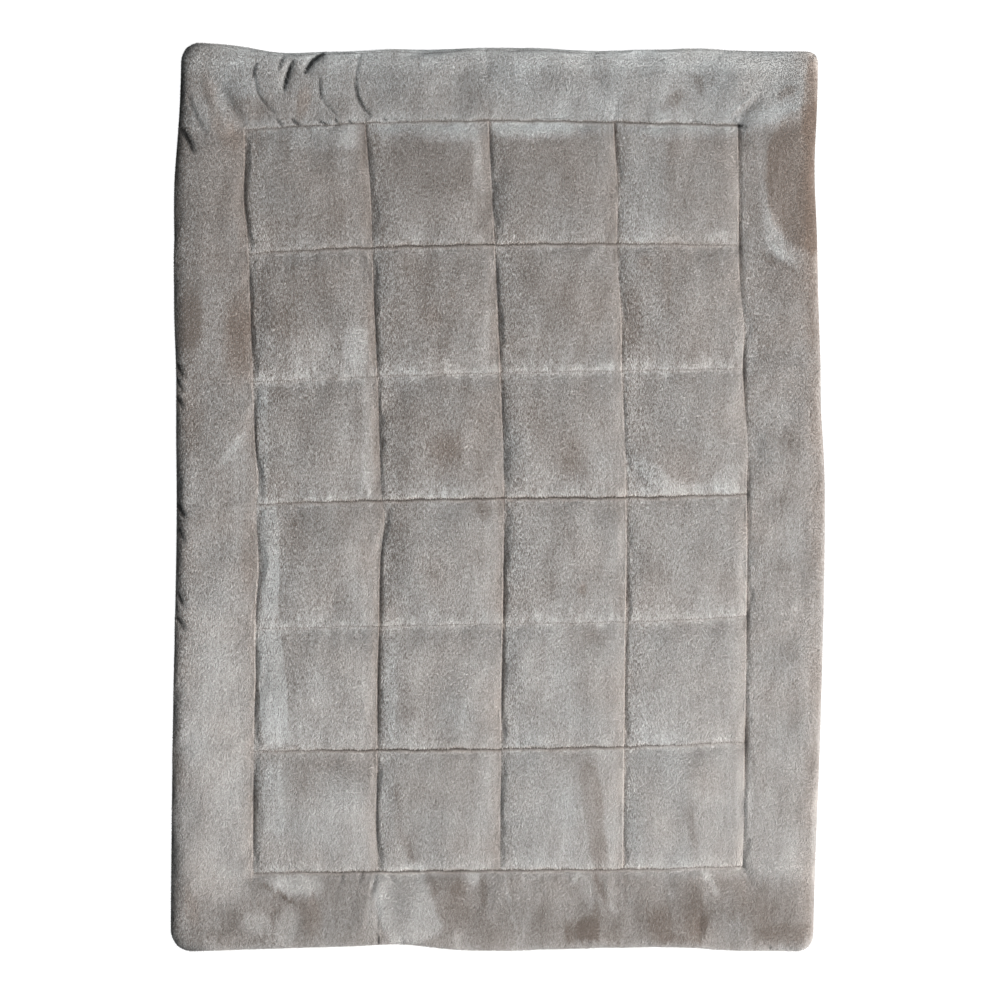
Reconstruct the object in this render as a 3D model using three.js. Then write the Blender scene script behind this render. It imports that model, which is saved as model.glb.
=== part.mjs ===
// Quilted plush bedspread lying face up: one filled solid, sewn through in squares inside a plain border.
// Millimetres, +Z up. +Y is the head end, +X the right-hand side, and z = 0 the surface it lies on.
import * as THREE from 'three';

// Heights above the surface
const SQUARE_CROWN = 28;
const BORDER_CROWN = 26;
const CHANNEL_FACE = 10;
const CHANNEL_BACK = 5;
const EDGE_SEAM = 9;

// Distances over which the cloth rises from a sewn line or from the edge seam
const CHANNEL_ROLL = 62;
const CHANNEL_TUCK = 18;
const RIM_ROLL = 33;
const RIM_TUCK = 20;
// Steepness of the rise beside a sewn channel
const CHANNEL_POWER = 2.6;

// The outline's corner radii
const CORNERS = {
  headLeft: 45,
  headRight: 25,
  footLeft: 50,
  footRight: 40,
};

// Lines from head to foot: x at five even stations from y = +LONG_REACH to y = -LONG_REACH
const LONG_REACH = 960;
const LONG_LINES = [
  { line: 'left edge', head: -698, upper: -714, middle: -708, lower: -716, foot: -721 },
  { line: 'seam 1', head: -559, upper: -544, middle: -530, lower: -535, foot: -537 },
  { line: 'seam 2', head: -295, upper: -272, middle: -256, lower: -263, foot: -260 },
  { line: 'seam 3', head: -23, upper: -3, middle: 14, lower: 10, foot: 6 },
  { line: 'seam 4', head: 256, upper: 266, middle: 285, lower: 281, foot: 277 },
  { line: 'seam 5', head: 531, upper: 534, middle: 550, lower: 547, foot: 539 },
  { line: 'right edge', head: 707, upper: 707, middle: 722, lower: 714, foot: 697 },
];

// Lines from left to right: y at five even stations from x = -CROSS_REACH to x = +CROSS_REACH
const CROSS_REACH = 700;
const CROSS_LINES = [
  { line: 'head edge', left: 1003, nearLeft: 982, centre: 990, nearRight: 986, right: 982 },
  { line: 'seam 1', left: 801, nearLeft: 821, centre: 829, nearRight: 823, right: 816 },
  { line: 'seam 2', left: 528, nearLeft: 547, centre: 556, nearRight: 557, right: 550 },
  { line: 'seam 3', left: 246, nearLeft: 262, centre: 273, nearRight: 279, right: 284 },
  { line: 'seam 4', left: -21, nearLeft: -10, centre: -3, nearRight: 0, right: 10 },
  { line: 'seam 5', left: -295, nearLeft: -286, centre: -280, nearRight: -273, right: -256 },
  { line: 'seam 6', left: -561, nearLeft: -558, centre: -555, nearRight: -548, right: -533 },
  { line: 'seam 7', left: -829, nearLeft: -826, centre: -822, nearRight: -819, right: -808 },
  { line: 'foot edge', left: -1002, nearLeft: -992, centre: -999, nearRight: -992, right: -1002 },
];

// Slow waves in the four edges: centre along the edge, how far it is drawn in, and half its length
const EDGE_WAVES = [
  { edge: 'left edge', at: 725, inward: -6.5, reach: 120 },
  { edge: 'left edge', at: 300, inward: 3.5, reach: 110 },
  { edge: 'right edge', at: 735, inward: 6.5, reach: 120 },
  { edge: 'right edge', at: 180, inward: 3.5, reach: 80 },
  { edge: 'head edge', at: -475, inward: 9, reach: 70 },
  { edge: 'head edge', at: -235, inward: -4, reach: 60 },
  { edge: 'head edge', at: 210, inward: 5, reach: 80 },
  { edge: 'head edge', at: 440, inward: -3.5, reach: 60 },
  { edge: 'foot edge', at: -215, inward: 8, reach: 85 },
  { edge: 'foot edge', at: 525, inward: -3, reach: 70 },
];

// Soft folds in the border: from one end to the other, sideways bow at the middle, depth and half width
const FOLDS = [
  { fold: 'head, deepest', fromX: -378, fromY: 985, toX: -424, toY: 932, bow: 4, deep: 8, wide: 13 },
  { fold: 'head, beside it', fromX: -450, fromY: 962, toX: -468, toY: 898, bow: -3, deep: 7, wide: 12 },
  { fold: 'head, at the rim', fromX: -468, fromY: 982, toX: -482, toY: 946, bow: 0, deep: 5, wide: 12 },
  { fold: 'head, curved', fromX: -526, fromY: 955, toX: -513, toY: 853, bow: 14, deep: 6, wide: 13 },
  { fold: 'head, right across', fromX: -300, fromY: 985, toX: -286, toY: 842, bow: 16, deep: 5, wide: 15 },
  { fold: 'head, short', fromX: -388, fromY: 917, toX: -384, toY: 872, bow: 0, deep: 4, wide: 13 },
  { fold: 'left, deepest', fromX: -708, fromY: 834, toX: -672, toY: 774, bow: -5, deep: 8, wide: 13 },
  { fold: 'left, beside it', fromX: -683, fromY: 876, toX: -642, toY: 820, bow: -5, deep: 6, wide: 13 },
  { fold: 'corner, into grid', fromX: -608, fromY: 906, toX: -560, toY: 812, bow: 6, deep: 6, wide: 16 },
  { fold: 'corner, ridge', fromX: -638, fromY: 920, toX: -588, toY: 806, bow: 6, deep: -4, wide: 16 },
  { fold: 'head right, first', fromX: 576, fromY: 905, toX: 528, toY: 838, bow: 5, deep: 4, wide: 18 },
  { fold: 'head right, second', fromX: 482, fromY: 938, toX: 440, toY: 884, bow: 3, deep: 3, wide: 18 },
];
const FOLD_STEPS = 10;

// Stations of the face: distances from a sewn line, from the edge seam, and the longest cell between
const BESIDE_SEAM = [8, 22, 45];
const BESIDE_RIM = [2.5, 8, 17, RIM_ROLL];
const PLAIN_CELL = 64;
const FOLDED_CELL = 23;
const FOLDED_COLUMNS = 2;
const FOLDED_ROWS = 1;
// Stations of the back, which lies flat between the sewn lines
const BACK_BESIDE_SEAM = [CHANNEL_TUCK];
const BACK_BESIDE_RIM = [6, RIM_TUCK, 48];

const PLUSH = new THREE.MeshStandardMaterial({ color: 0x9c9692, roughness: 0.95, metalness: 0 });

// One line as a smooth function of the distance along it
function lineThrough(row, reach, towards) {
  const values = Object.values(row).slice(1);
  const curve = new THREE.SplineCurve(values.map((value, station) => new THREE.Vector2(station, value)));
  const waves = EDGE_WAVES.filter((wave) => wave.edge === row.line);
  const inwardSign = values[0] > 0 ? -1 : 1;
  return (along) => {
    const share = (along * towards + reach) / (2 * reach);
    const base = curve.getPoint(THREE.MathUtils.clamp(share, 0, 1)).y;
    const drawn = waves.reduce((sum, wave) => sum + wave.inward * bell((along - wave.at) / wave.reach), 0);
    return base + inwardSign * drawn;
  };
}

// A bell of height 1 that falls to 0 with the square of the distance
function bell(distance) {
  return Math.exp(-distance * distance);
}

// The rise beside a sewn channel, from 0 on the line to 1 on the crown
function channelRise(distance) {
  const left = Math.max(0, 1 - distance / CHANNEL_ROLL);
  return 1 - left ** CHANNEL_POWER;
}

// A quarter round from 0 at the edge to 1 at the given roll
function quarterRound(distance, roll) {
  const left = Math.max(0, 1 - distance / roll);
  return Math.sqrt(1 - left * left);
}

const longLines = LONG_LINES.map((row) => lineThrough(row, LONG_REACH, -1));
const crossLines = CROSS_LINES.map((row) => lineThrough(row, CROSS_REACH, 1));
const LAST_COLUMN = longLines.length - 2;
const LAST_ROW = crossLines.length - 2;
const SIDES = 4;

// The folds as short chains of points, with their depth and half width
const folds = FOLDS.map((fold) => {
  const from = new THREE.Vector2(fold.fromX, fold.fromY);
  const to = new THREE.Vector2(fold.toX, fold.toY);
  const along = to.clone().sub(from).normalize();
  const side = new THREE.Vector2(along.y, -along.x);
  const middle = from.clone().lerp(to, 0.5).addScaledVector(side, 2 * fold.bow);
  const points = new THREE.QuadraticBezierCurve(from, middle, to).getPoints(FOLD_STEPS);
  return { points, deep: fold.deep, wide: fold.wide };
});

// How far the folds lower the face at a place, deepest along each fold and fading beyond its ends
function foldDepth(place) {
  return folds.reduce((sum, fold) => {
    const nearest = Math.min(...fold.points.map((point) => point.distanceTo(place)));
    return sum + fold.deep * bell(nearest / fold.wide);
  }, 0);
}

// Stations across the columns or rows: the cell's number, and the share of the way across it
function stations(lines, besideSeam, besideRim, cellOf) {
  const list = [];
  for (let cell = 0; cell < lines.length - 1; cell += 1) {
    const width = Math.abs(lines[cell + 1](0) - lines[cell](0));
    const before = cell === 0 ? besideRim : besideSeam;
    const after = cell === lines.length - 2 ? besideRim : besideSeam;
    const start = before.at(-1);
    const end = width - after.at(-1);
    const steps = Math.max(1, Math.round((end - start) / cellOf(cell)));
    const middle = Array.from({ length: steps - 1 }, (_, k) => start + ((k + 1) * (end - start)) / steps);
    const far = after.map((distance) => width - distance).reverse();
    for (const distance of [0, ...before, ...middle, ...far]) {
      list.push({ cell, share: distance / width });
    }
  }
  list.push({ cell: lines.length - 2, share: 1 });
  return list;
}

// Position across the cell between two neighbouring lines, at a distance along them
function between(lines, station, along) {
  return THREE.MathUtils.lerp(lines[station.cell](along), lines[station.cell + 1](along), station.share);
}

// Everything known about one place on the bedspread, from its column and row stations
function placeAt(column, row) {
  const x = between(longLines, column, between(crossLines, row, 0));
  const y = between(crossLines, row, x);
  const width = longLines[column.cell + 1](y) - longLines[column.cell](y);
  const length = crossLines[row.cell](x) - crossLines[row.cell + 1](x);
  const left = column.share * width;
  const right = width - left;
  const above = row.share * length;
  const below = length - above;
  const rimLeft = column.cell === 0 ? left : Infinity;
  const rimRight = column.cell === LAST_COLUMN ? right : Infinity;
  const rimHead = row.cell === 0 ? above : Infinity;
  const rimFoot = row.cell === LAST_ROW ? below : Infinity;
  const place = new THREE.Vector2(x, y);
  roundCorner(place, rimLeft, rimHead, 1, -1, CORNERS.headLeft);
  roundCorner(place, rimRight, rimHead, -1, -1, CORNERS.headRight);
  roundCorner(place, rimLeft, rimFoot, 1, 1, CORNERS.footLeft);
  roundCorner(place, rimRight, rimFoot, -1, 1, CORNERS.footRight);
  const pastSide = outside(column.cell, LAST_COLUMN, right, left);
  const pastEnd = outside(row.cell, LAST_ROW, below, above);
  const rim = Math.min(rimLeft, rimRight, rimHead, rimFoot);
  return {
    place,
    rim,
    inBorder: Number.isFinite(rim),
    fromGrid: Math.hypot(pastSide, pastEnd),
    fromLong: Math.min(left, right),
    fromCross: Math.min(above, below),
  };
}

// How far a place lies outside the sewn grid: the distance to the grid in the first or last cell, else 0
function outside(cell, lastCell, toNext, toPrevious) {
  if (cell === 0) return toNext;
  return cell === lastCell ? toPrevious : 0;
}

// Draws a square corner in to an arc: a point's larger reach past the arc's centre becomes its radius
function roundCorner(place, fromSide, fromEnd, inX, inY, radius) {
  const reachX = radius - fromSide;
  const reachY = radius - fromEnd;
  if (reachX <= 0 || reachY <= 0) return;
  const shrink = Math.max(reachX, reachY) / Math.hypot(reachX, reachY);
  place.x += inX * reachX * (1 - shrink);
  place.y += inY * reachY * (1 - shrink);
}

// Height of the face: pillowed squares, and a border that rolls down to the edge seam
function faceHeight(spot) {
  const fold = foldDepth(spot.place) * quarterRound(spot.rim, RIM_ROLL);
  if (!spot.inBorder) {
    const pillow = channelRise(spot.fromLong) * channelRise(spot.fromCross);
    return CHANNEL_FACE + (SQUARE_CROWN - CHANNEL_FACE) * pillow - fold * pillow;
  }
  const rolled = EDGE_SEAM + (BORDER_CROWN - EDGE_SEAM) * quarterRound(spot.rim, RIM_ROLL);
  const rise = channelRise(spot.fromGrid);
  return CHANNEL_FACE + (rolled - CHANNEL_FACE) * rise - fold * rise;
}

// Height of the back: flat on the surface, lifted along the sewn lines and up to the edge seam
function backHeight(spot) {
  const fromSeam = spot.inBorder ? spot.fromGrid : Math.min(spot.fromLong, spot.fromCross);
  const lift = CHANNEL_BACK * (1 - quarterRound(fromSeam, CHANNEL_TUCK));
  const rolled = EDGE_SEAM * (1 - quarterRound(spot.rim, RIM_TUCK));
  return Math.max(lift, rolled);
}

// A patch of points over the stations, as rows of point numbers
function addPatch(points, columns, rows, heightOf) {
  return rows.map((row) => columns.map((column) => {
    const spot = placeAt(column, row);
    points.push(spot.place.x, spot.place.y, heightOf(spot));
    return points.length / 3 - 1;
  }));
}

// Two triangles for each cell of a patch, facing up, or down if turned
function fillPatch(triangles, patch, turned) {
  for (let r = 0; r < patch.length - 1; r += 1) {
    for (let c = 0; c < patch[r].length - 1; c += 1) {
      const [a, b, d, e] = [patch[r][c], patch[r][c + 1], patch[r + 1][c], patch[r + 1][c + 1]];
      if (turned) triangles.push(a, b, e, a, e, d);
      else triangles.push(a, e, b, a, d, e);
    }
  }
}

// The outer ring of a patch, once round from its first corner. A point's turn counts the sides passed
function ringOf(patch, columns, rows) {
  const across = columns.map((column) => (column.cell + column.share) / (LAST_COLUMN + 1));
  const down = rows.map((row) => (row.cell + row.share) / (LAST_ROW + 1));
  const head = patch[0].map((point, c) => ({ point, turn: across[c] }));
  const right = patch.map((row, r) => ({ point: row.at(-1), turn: 1 + down[r] }));
  const foot = patch.at(-1).map((point, c) => ({ point, turn: SIDES - 1 - across[c] }));
  const left = patch.map((row, r) => ({ point: row[0], turn: SIDES - down[r] }));
  const sides = [head, right, foot.reverse(), left.reverse()];
  return sides.flatMap((side) => side.slice(0, -1));
}

// Joins two rings of different counts, always stepping along the one that is behind
function zipRings(triangles, outer, inner) {
  let a = 0;
  let b = 0;
  const turnOf = (ring, k) => (k < ring.length ? ring[k].turn : SIDES + ring[k - ring.length].turn);
  while (a < outer.length || b < inner.length) {
    const nextOuter = a < outer.length ? turnOf(outer, a + 1) : Infinity;
    const nextInner = b < inner.length ? turnOf(inner, b + 1) : Infinity;
    const from = outer[a % outer.length].point;
    const beside = inner[b % inner.length].point;
    if (nextOuter <= nextInner) {
      a += 1;
      triangles.push(from, outer[a % outer.length].point, beside);
    } else {
      b += 1;
      triangles.push(from, inner[b % inner.length].point, beside);
    }
  }
}

// The whole filled solid: face, rim strip and back, centred on its box
function quiltGeometry() {
  const columnCell = (cell) => (cell < FOLDED_COLUMNS ? FOLDED_CELL : PLAIN_CELL);
  const rowCell = (cell) => (cell < FOLDED_ROWS ? FOLDED_CELL : PLAIN_CELL);
  const faceColumns = stations(longLines, BESIDE_SEAM, BESIDE_RIM, columnCell);
  const faceRows = stations(crossLines, BESIDE_SEAM, BESIDE_RIM, rowCell);
  const backColumns = stations(longLines, BACK_BESIDE_SEAM, BACK_BESIDE_RIM, () => Infinity);
  const backRows = stations(crossLines, BACK_BESIDE_SEAM, BACK_BESIDE_RIM, () => Infinity);
  const innerColumns = backColumns.slice(1, -1);
  const innerRows = backRows.slice(1, -1);
  const points = [];
  const triangles = [];
  const face = addPatch(points, faceColumns, faceRows, faceHeight);
  const back = addPatch(points, innerColumns, innerRows, backHeight);
  fillPatch(triangles, face, false);
  fillPatch(triangles, back, true);
  zipRings(triangles, ringOf(face, faceColumns, faceRows), ringOf(back, innerColumns, innerRows));
  const geometry = new THREE.BufferGeometry();
  geometry.setAttribute('position', new THREE.Float32BufferAttribute(points, 3));
  geometry.setIndex(triangles);
  geometry.computeBoundingBox();
  const centre = geometry.boundingBox.getCenter(new THREE.Vector3());
  geometry.translate(-centre.x, -centre.y, 0);
  geometry.computeVertexNormals();
  return geometry;
}

const quilt = new THREE.Mesh(quiltGeometry(), PLUSH);
quilt.name = 'quilt';
const bedspread = new THREE.Group();
bedspread.add(quilt);

export default bedspread;
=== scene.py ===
# %% [markdown]
# # A quilted plush bedspread
# The real thing is two cloths with wadding between them, sewn through along straight lines so that
# padded squares stand up inside a plain padded border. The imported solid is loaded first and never
# moved: it fixes the size and the place, and the lesson then lays the finished cloth on it, one piece
# at a time.

# %% Load the fixed frame
import math

import bpy
import numpy as np
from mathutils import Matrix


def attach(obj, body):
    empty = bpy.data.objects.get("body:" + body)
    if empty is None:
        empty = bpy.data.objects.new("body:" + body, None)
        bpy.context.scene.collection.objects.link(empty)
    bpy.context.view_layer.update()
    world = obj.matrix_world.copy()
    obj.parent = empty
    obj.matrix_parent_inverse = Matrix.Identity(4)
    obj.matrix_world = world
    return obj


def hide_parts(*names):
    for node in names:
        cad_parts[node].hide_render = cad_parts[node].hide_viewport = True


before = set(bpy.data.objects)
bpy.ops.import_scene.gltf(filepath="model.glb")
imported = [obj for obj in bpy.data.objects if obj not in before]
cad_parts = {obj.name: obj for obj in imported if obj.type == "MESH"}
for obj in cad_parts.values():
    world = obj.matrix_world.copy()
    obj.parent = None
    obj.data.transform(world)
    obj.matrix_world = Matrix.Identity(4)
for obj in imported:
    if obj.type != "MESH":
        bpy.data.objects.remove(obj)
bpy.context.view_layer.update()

MM = 0.001
SEED = 7
BODY = "root"
NODE = "quilt"

# %% [markdown]
# ## Edges and sewn lines
# A maker chalks straight lines, but wadded cloth never lies quite straight: every line bows and leans a
# little. A line could be traced point by point. Here each is a smooth curve through five even stations,
# which is short to read and gives the position anywhere along the line as one array expression.

# %% Lines from head to foot and from side to side
LONG_REACH = 960.0
LONG_LINES = (  # x in millimetres at five even stations from the head to the foot
    (-698, -714, -708, -716, -721),  # left edge
    (-559, -544, -530, -535, -537),
    (-295, -272, -256, -263, -260),
    (-23, -3, 14, 10, 6),
    (256, 266, 285, 281, 277),
    (531, 534, 550, 547, 539),
    (707, 707, 722, 714, 697),  # right edge
)
CROSS_REACH = 700.0
CROSS_LINES = (  # y in millimetres at five even stations from the left to the right
    (1003, 982, 990, 986, 982),  # head edge
    (801, 821, 829, 823, 816),
    (528, 547, 556, 557, 550),
    (246, 262, 273, 279, 284),
    (-21, -10, -3, 0, 10),
    (-295, -286, -280, -273, -256),
    (-561, -558, -555, -548, -533),
    (-829, -826, -822, -819, -808),
    (-1002, -992, -999, -992, -1002),  # foot edge
)
EDGE_WAVES = {  # place along the edge, how far it is drawn in, half length of the wave
    "left": ((725, -6.5, 120), (300, 3.5, 110)),
    "right": ((735, 6.5, 120), (180, 3.5, 80)),
    "head": ((-475, 9, 70), (-235, -4, 60), (210, 5, 80), (440, -3.5, 60)),
    "foot": ((-215, 8, 85), (525, -3, 70)),
}
LINE_BOWS = {  # long line: places along it, how far it bows to the right there, half length of the bow
    1: ((675, -5, 60), (60, 6, 45), (-140, 6, 70), (-400, 3, 90)),
    2: ((675, 3.5, 110), (-45, 8, 50), (-710, -3.5, 90)),
    3: ((250, 2.5, 400),),
    4: ((675, 5, 80), (390, 5, 80)),
    5: ((367, 7, 60), (110, 4, 70)),
}
COLUMNS = len(LONG_LINES) - 1
ROWS = len(CROSS_LINES) - 1
WAVER, SLOW_WAVER, FAST_WAVER = 0.7, 23.0, 9.5


def bell(distance):
    """A hump of height 1 that falls off as the exponential of minus the distance squared."""
    return np.exp(-np.square(distance))


def through(values, share):
    """A smooth curve through evenly spaced values: the Catmull-Rom cubic, with the end values counted
    twice."""
    values = np.asarray(values, float)
    last = len(values) - 1
    place = np.clip(share, 0.0, 1.0) * last
    i = np.minimum(place.astype(int), last - 1)
    t = place - i
    p0 = values[np.maximum(i - 1, 0)]
    p1 = values[i]
    p2 = values[i + 1]
    p3 = values[np.minimum(i + 2, last)]
    return p1 + 0.5 * t * (p2 - p0 + t * (2 * p0 - 5 * p1 + 4 * p2 - p3 + t * (3 * (p1 - p2) + p3 - p0)))


def bowed(waves, along):
    """How far a line lies off its smooth course: a sum of bells along it."""
    return sum(aside * bell((along - at) / reach) for at, aside, reach in waves)


def long_lines(y):
    """x of each line from head to foot at the given y: the smooth line, with its bows or an edge's
    waves added."""
    lines = [through(row, (LONG_REACH - y) / (2 * LONG_REACH)) for row in LONG_LINES]
    for number, bows in LINE_BOWS.items():
        lines[number] = lines[number] + bowed(bows, y)
    lines[0] = lines[0] + bowed(EDGE_WAVES["left"], y)
    lines[-1] = lines[-1] - bowed(EDGE_WAVES["right"], y)
    return lines


def cross_lines(x):
    """y of each line from left to right at the given x: the smooth line, with the two edges' waves
    added and a slight waver of the sewn lines, which is a sum of two sines."""
    lines = [through(row, (CROSS_REACH + x) / (2 * CROSS_REACH)) for row in CROSS_LINES]
    for number in range(1, ROWS):
        waver = np.sin(x / SLOW_WAVER + 2 * number) + np.sin(x / FAST_WAVER + 5 * number)
        lines[number] = lines[number] + WAVER * waver
    lines[0] = lines[0] - bowed(EDGE_WAVES["head"], x)
    lines[-1] = lines[-1] + bowed(EDGE_WAVES["foot"], x)
    return lines


print("cells across:", COLUMNS, "cells down:", ROWS)

# %% [markdown]
# ## A place on the cloth
# The lines make a grid, so any place is a pair of numbers: u counts the long lines from the left edge
# and v the cross lines from the head. From the pair follow the place itself and its distances to the
# rim and to the nearest sewn lines, and these distances are all that the padding's shape needs.

# %% From stations to places
CORNERS = (  # side, end, which way is inwards in x and in y, radius
    ("left", "head", 1, -1, 45.0),
    ("right", "head", -1, -1, 25.0),
    ("left", "foot", 1, 1, 50.0),
    ("right", "foot", -1, 1, 40.0),
)
FAR, TINY = 1e6, 1e-12
SIDE_SAMPLES, END_SAMPLES = 2000, 1500


def between(lines, cell, share):
    """The position that lies the given share of the way from one line to the next."""
    return np.choose(cell, lines[:-1]) * (1 - share) + np.choose(cell, lines[1:]) * share


def rounded(x, y, from_side, from_end, in_x, in_y, radius):
    """Draws a square corner in to an arc: the larger reach past the arc's centre becomes the distance
    from it."""
    reach_x = np.clip(radius - from_side, 0, None)
    reach_y = np.clip(radius - from_end, 0, None)
    longest = np.maximum(reach_x, reach_y)
    straight = np.maximum(np.hypot(reach_x, reach_y), TINY)
    shrink = np.where((reach_x > 0) & (reach_y > 0), longest / straight, 1.0)
    return x + in_x * reach_x * (1 - shrink), y + in_y * reach_y * (1 - shrink)


def lay_out(u, v):
    """Places and distances in millimetres: each place lies between its two nearest lines each way, in
    proportion, and the four corners are drawn in to arcs."""
    u, v = np.broadcast_arrays(np.asarray(u, float), np.asarray(v, float))
    column = np.clip(np.floor(u), 0, COLUMNS - 1).astype(int)
    row = np.clip(np.floor(v), 0, ROWS - 1).astype(int)
    at_left, at_right = column == 0, column == COLUMNS - 1
    at_head, at_foot = row == 0, row == ROWS - 1
    across, down = u - column, v - row
    x = between(long_lines(between(cross_lines(np.zeros_like(u)), row, down)), column, across)
    y = between(cross_lines(x), row, down)
    long_at, cross_at = long_lines(y), cross_lines(x)
    width = np.choose(column, long_at[1:]) - np.choose(column, long_at[:-1])
    length = np.choose(row, cross_at[:-1]) - np.choose(row, cross_at[1:])
    left, right = across * width, (1 - across) * width
    above, below = down * length, (1 - down) * length
    rims = {
        "left": np.where(at_left, left, FAR), "right": np.where(at_right, right, FAR),
        "head": np.where(at_head, above, FAR), "foot": np.where(at_foot, below, FAR),
    }
    for side, end, in_x, in_y, radius in CORNERS:
        x, y = rounded(x, y, rims[side], rims[end], in_x, in_y, radius)
    past_side = np.where(at_left, right, np.where(at_right, left, 0))
    past_end = np.where(at_head, below, np.where(at_foot, above, 0))
    in_side, in_end = at_left | at_right, at_head | at_foot
    in_border = in_side | in_end
    past = np.hypot(past_side, past_end)
    right_of = ~at_left & (at_right | (left < right))
    below_of = ~at_head & (at_foot | (above < below))
    from_cross = np.minimum(above, below)
    return {
        "u": u, "v": v, "x": x, "y": y, "rim": np.minimum.reduce(list(rims.values())),
        "in_border": in_border, "in_side": in_side, "in_end": in_end,
        "past_side": past_side, "past_end": past_end, "right_of": right_of, "below_of": below_of,
        "long_line": column - right_of, "cross_line": row - below_of, "from_cross": from_cross,
        "long_gap": np.where(in_border, np.where(in_side, past, FAR), np.minimum(left, right)),
        "cross_gap": np.where(in_border, np.where(in_end, past, FAR), from_cross),
    }


def from_seam(spot):
    """Distance to the nearest sewn line."""
    return np.minimum(spot["long_gap"], spot["cross_gap"])


side_x = lay_out(np.array([[0.0], [COLUMNS]]), np.linspace(0, ROWS, SIDE_SAMPLES))["x"]
end_y = lay_out(np.linspace(0, COLUMNS, END_SAMPLES), np.array([[0.0], [ROWS]]))["y"]
CENTRE_X = (side_x.min() + side_x.max()) / 2
CENTRE_Y = (end_y.min() + end_y.max()) / 2


def to_frame(x, y, z):
    """Millimetres in the layout to metres in the part's own frame, which is centred on the outline's
    box."""
    return np.stack([x - CENTRE_X, y - CENTRE_Y, z], axis=-1) * MM


print("outline, mm:", round(np.ptp(side_x), 1), "x", round(np.ptp(end_y), 1))

# %% [markdown]
# ## The shape of the padding
# Wadding swells each square into a pillow that is pinched along its four sewn sides, and rolls the
# border down to the seam at its rim. The calm main form is written straight from the distances: a quick
# rise beside a sewn line, steeper on one side than on the other because the wadding has slid, and a
# quarter round at the rim. The border's folds are bells across short bowed lines, placed one by one.

# %% Sizes of the padding, to the tips of the pile
CROWN = 28.0
CHANNEL_FACE = 15.0
CHANNEL_BACK = 5.0
CHANNEL_CROWN = 118.0
LONG_LIP, CROSS_LIP = 15.0, 20.0
LIP_SHARES = {"left": 0.14, "right": 0.58, "above": 0.3, "below": 0.12}
LONG_PINCH = np.array((0.95, 1.0, 1.0, 0.5, 0.35))
LONG_OPEN = (  # how far each long line gapes, at its crossings and at the middles of the sides between them
    (0.5, 1.3, 0.3, 1.05, 0.35, 0.95, 0.1, 0.2, 0.7, 1.1, 0.0, 1.2, 0.0),
    (1.1, 0.5, 0.5, 1.0, 0.7, 0.7, 0.15, 1.15, 1.3, 1.7, 0.8, 1.1, 0.4),
    (1.3, 0.2, 0.7, 0.7, 1.0, 0.65, 0.25, 1.05, 1.5, 1.45, 0.4, 0.2, 0.0),
    (1.9, 0.2, 0.3, 0.4, 0.8, 0.1, 0.6, 0.9, 1.2, 0.8, 0.7, 0.6, 0.7),
    (1.4, 0.45, 1.2, 0.0, 1.35, 0.1, 1.05, 0.55, 1.1, 0.3, 1.4, 0.15, 0.15),
)
CROSS_OPEN = (  # the same for each cross line, at its crossings
    (0.6, 0.6, 0.8, 0.9, 0.9),
    (0.5, 1.0, 1.0, 0.8, 0.3),
    (0.1, 0.1, 0.1, 0.0, 0.0),
    (0.6, 1.0, 1.05, 1.1, 0.7),
    (0.1, 0.15, 0.1, 0.15, 0.2),
    (0.4, 1.15, 1.0, 0.9, 0.3),
    (0.6, 1.0, 0.9, 0.8, 0.4),
)
GAPE_LEFT, GAPE_RIGHT = 0.5, 1.2
STITCH_PULL, STITCH_REACH, LONG_PULL = 5.0, 2.0, 0.7
CHANNEL_TUCK = 18.0
EDGE_SEAM = 9.0
RIM_ROLL = 38.0
RIM_TUCK = 20.0
LUMP_LENGTH, LUMP_HEIGHT = 150.0, 0.8
RIPPLE_WAVES, RIPPLE_PACES = 28, (0.65, 1.5)

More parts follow.
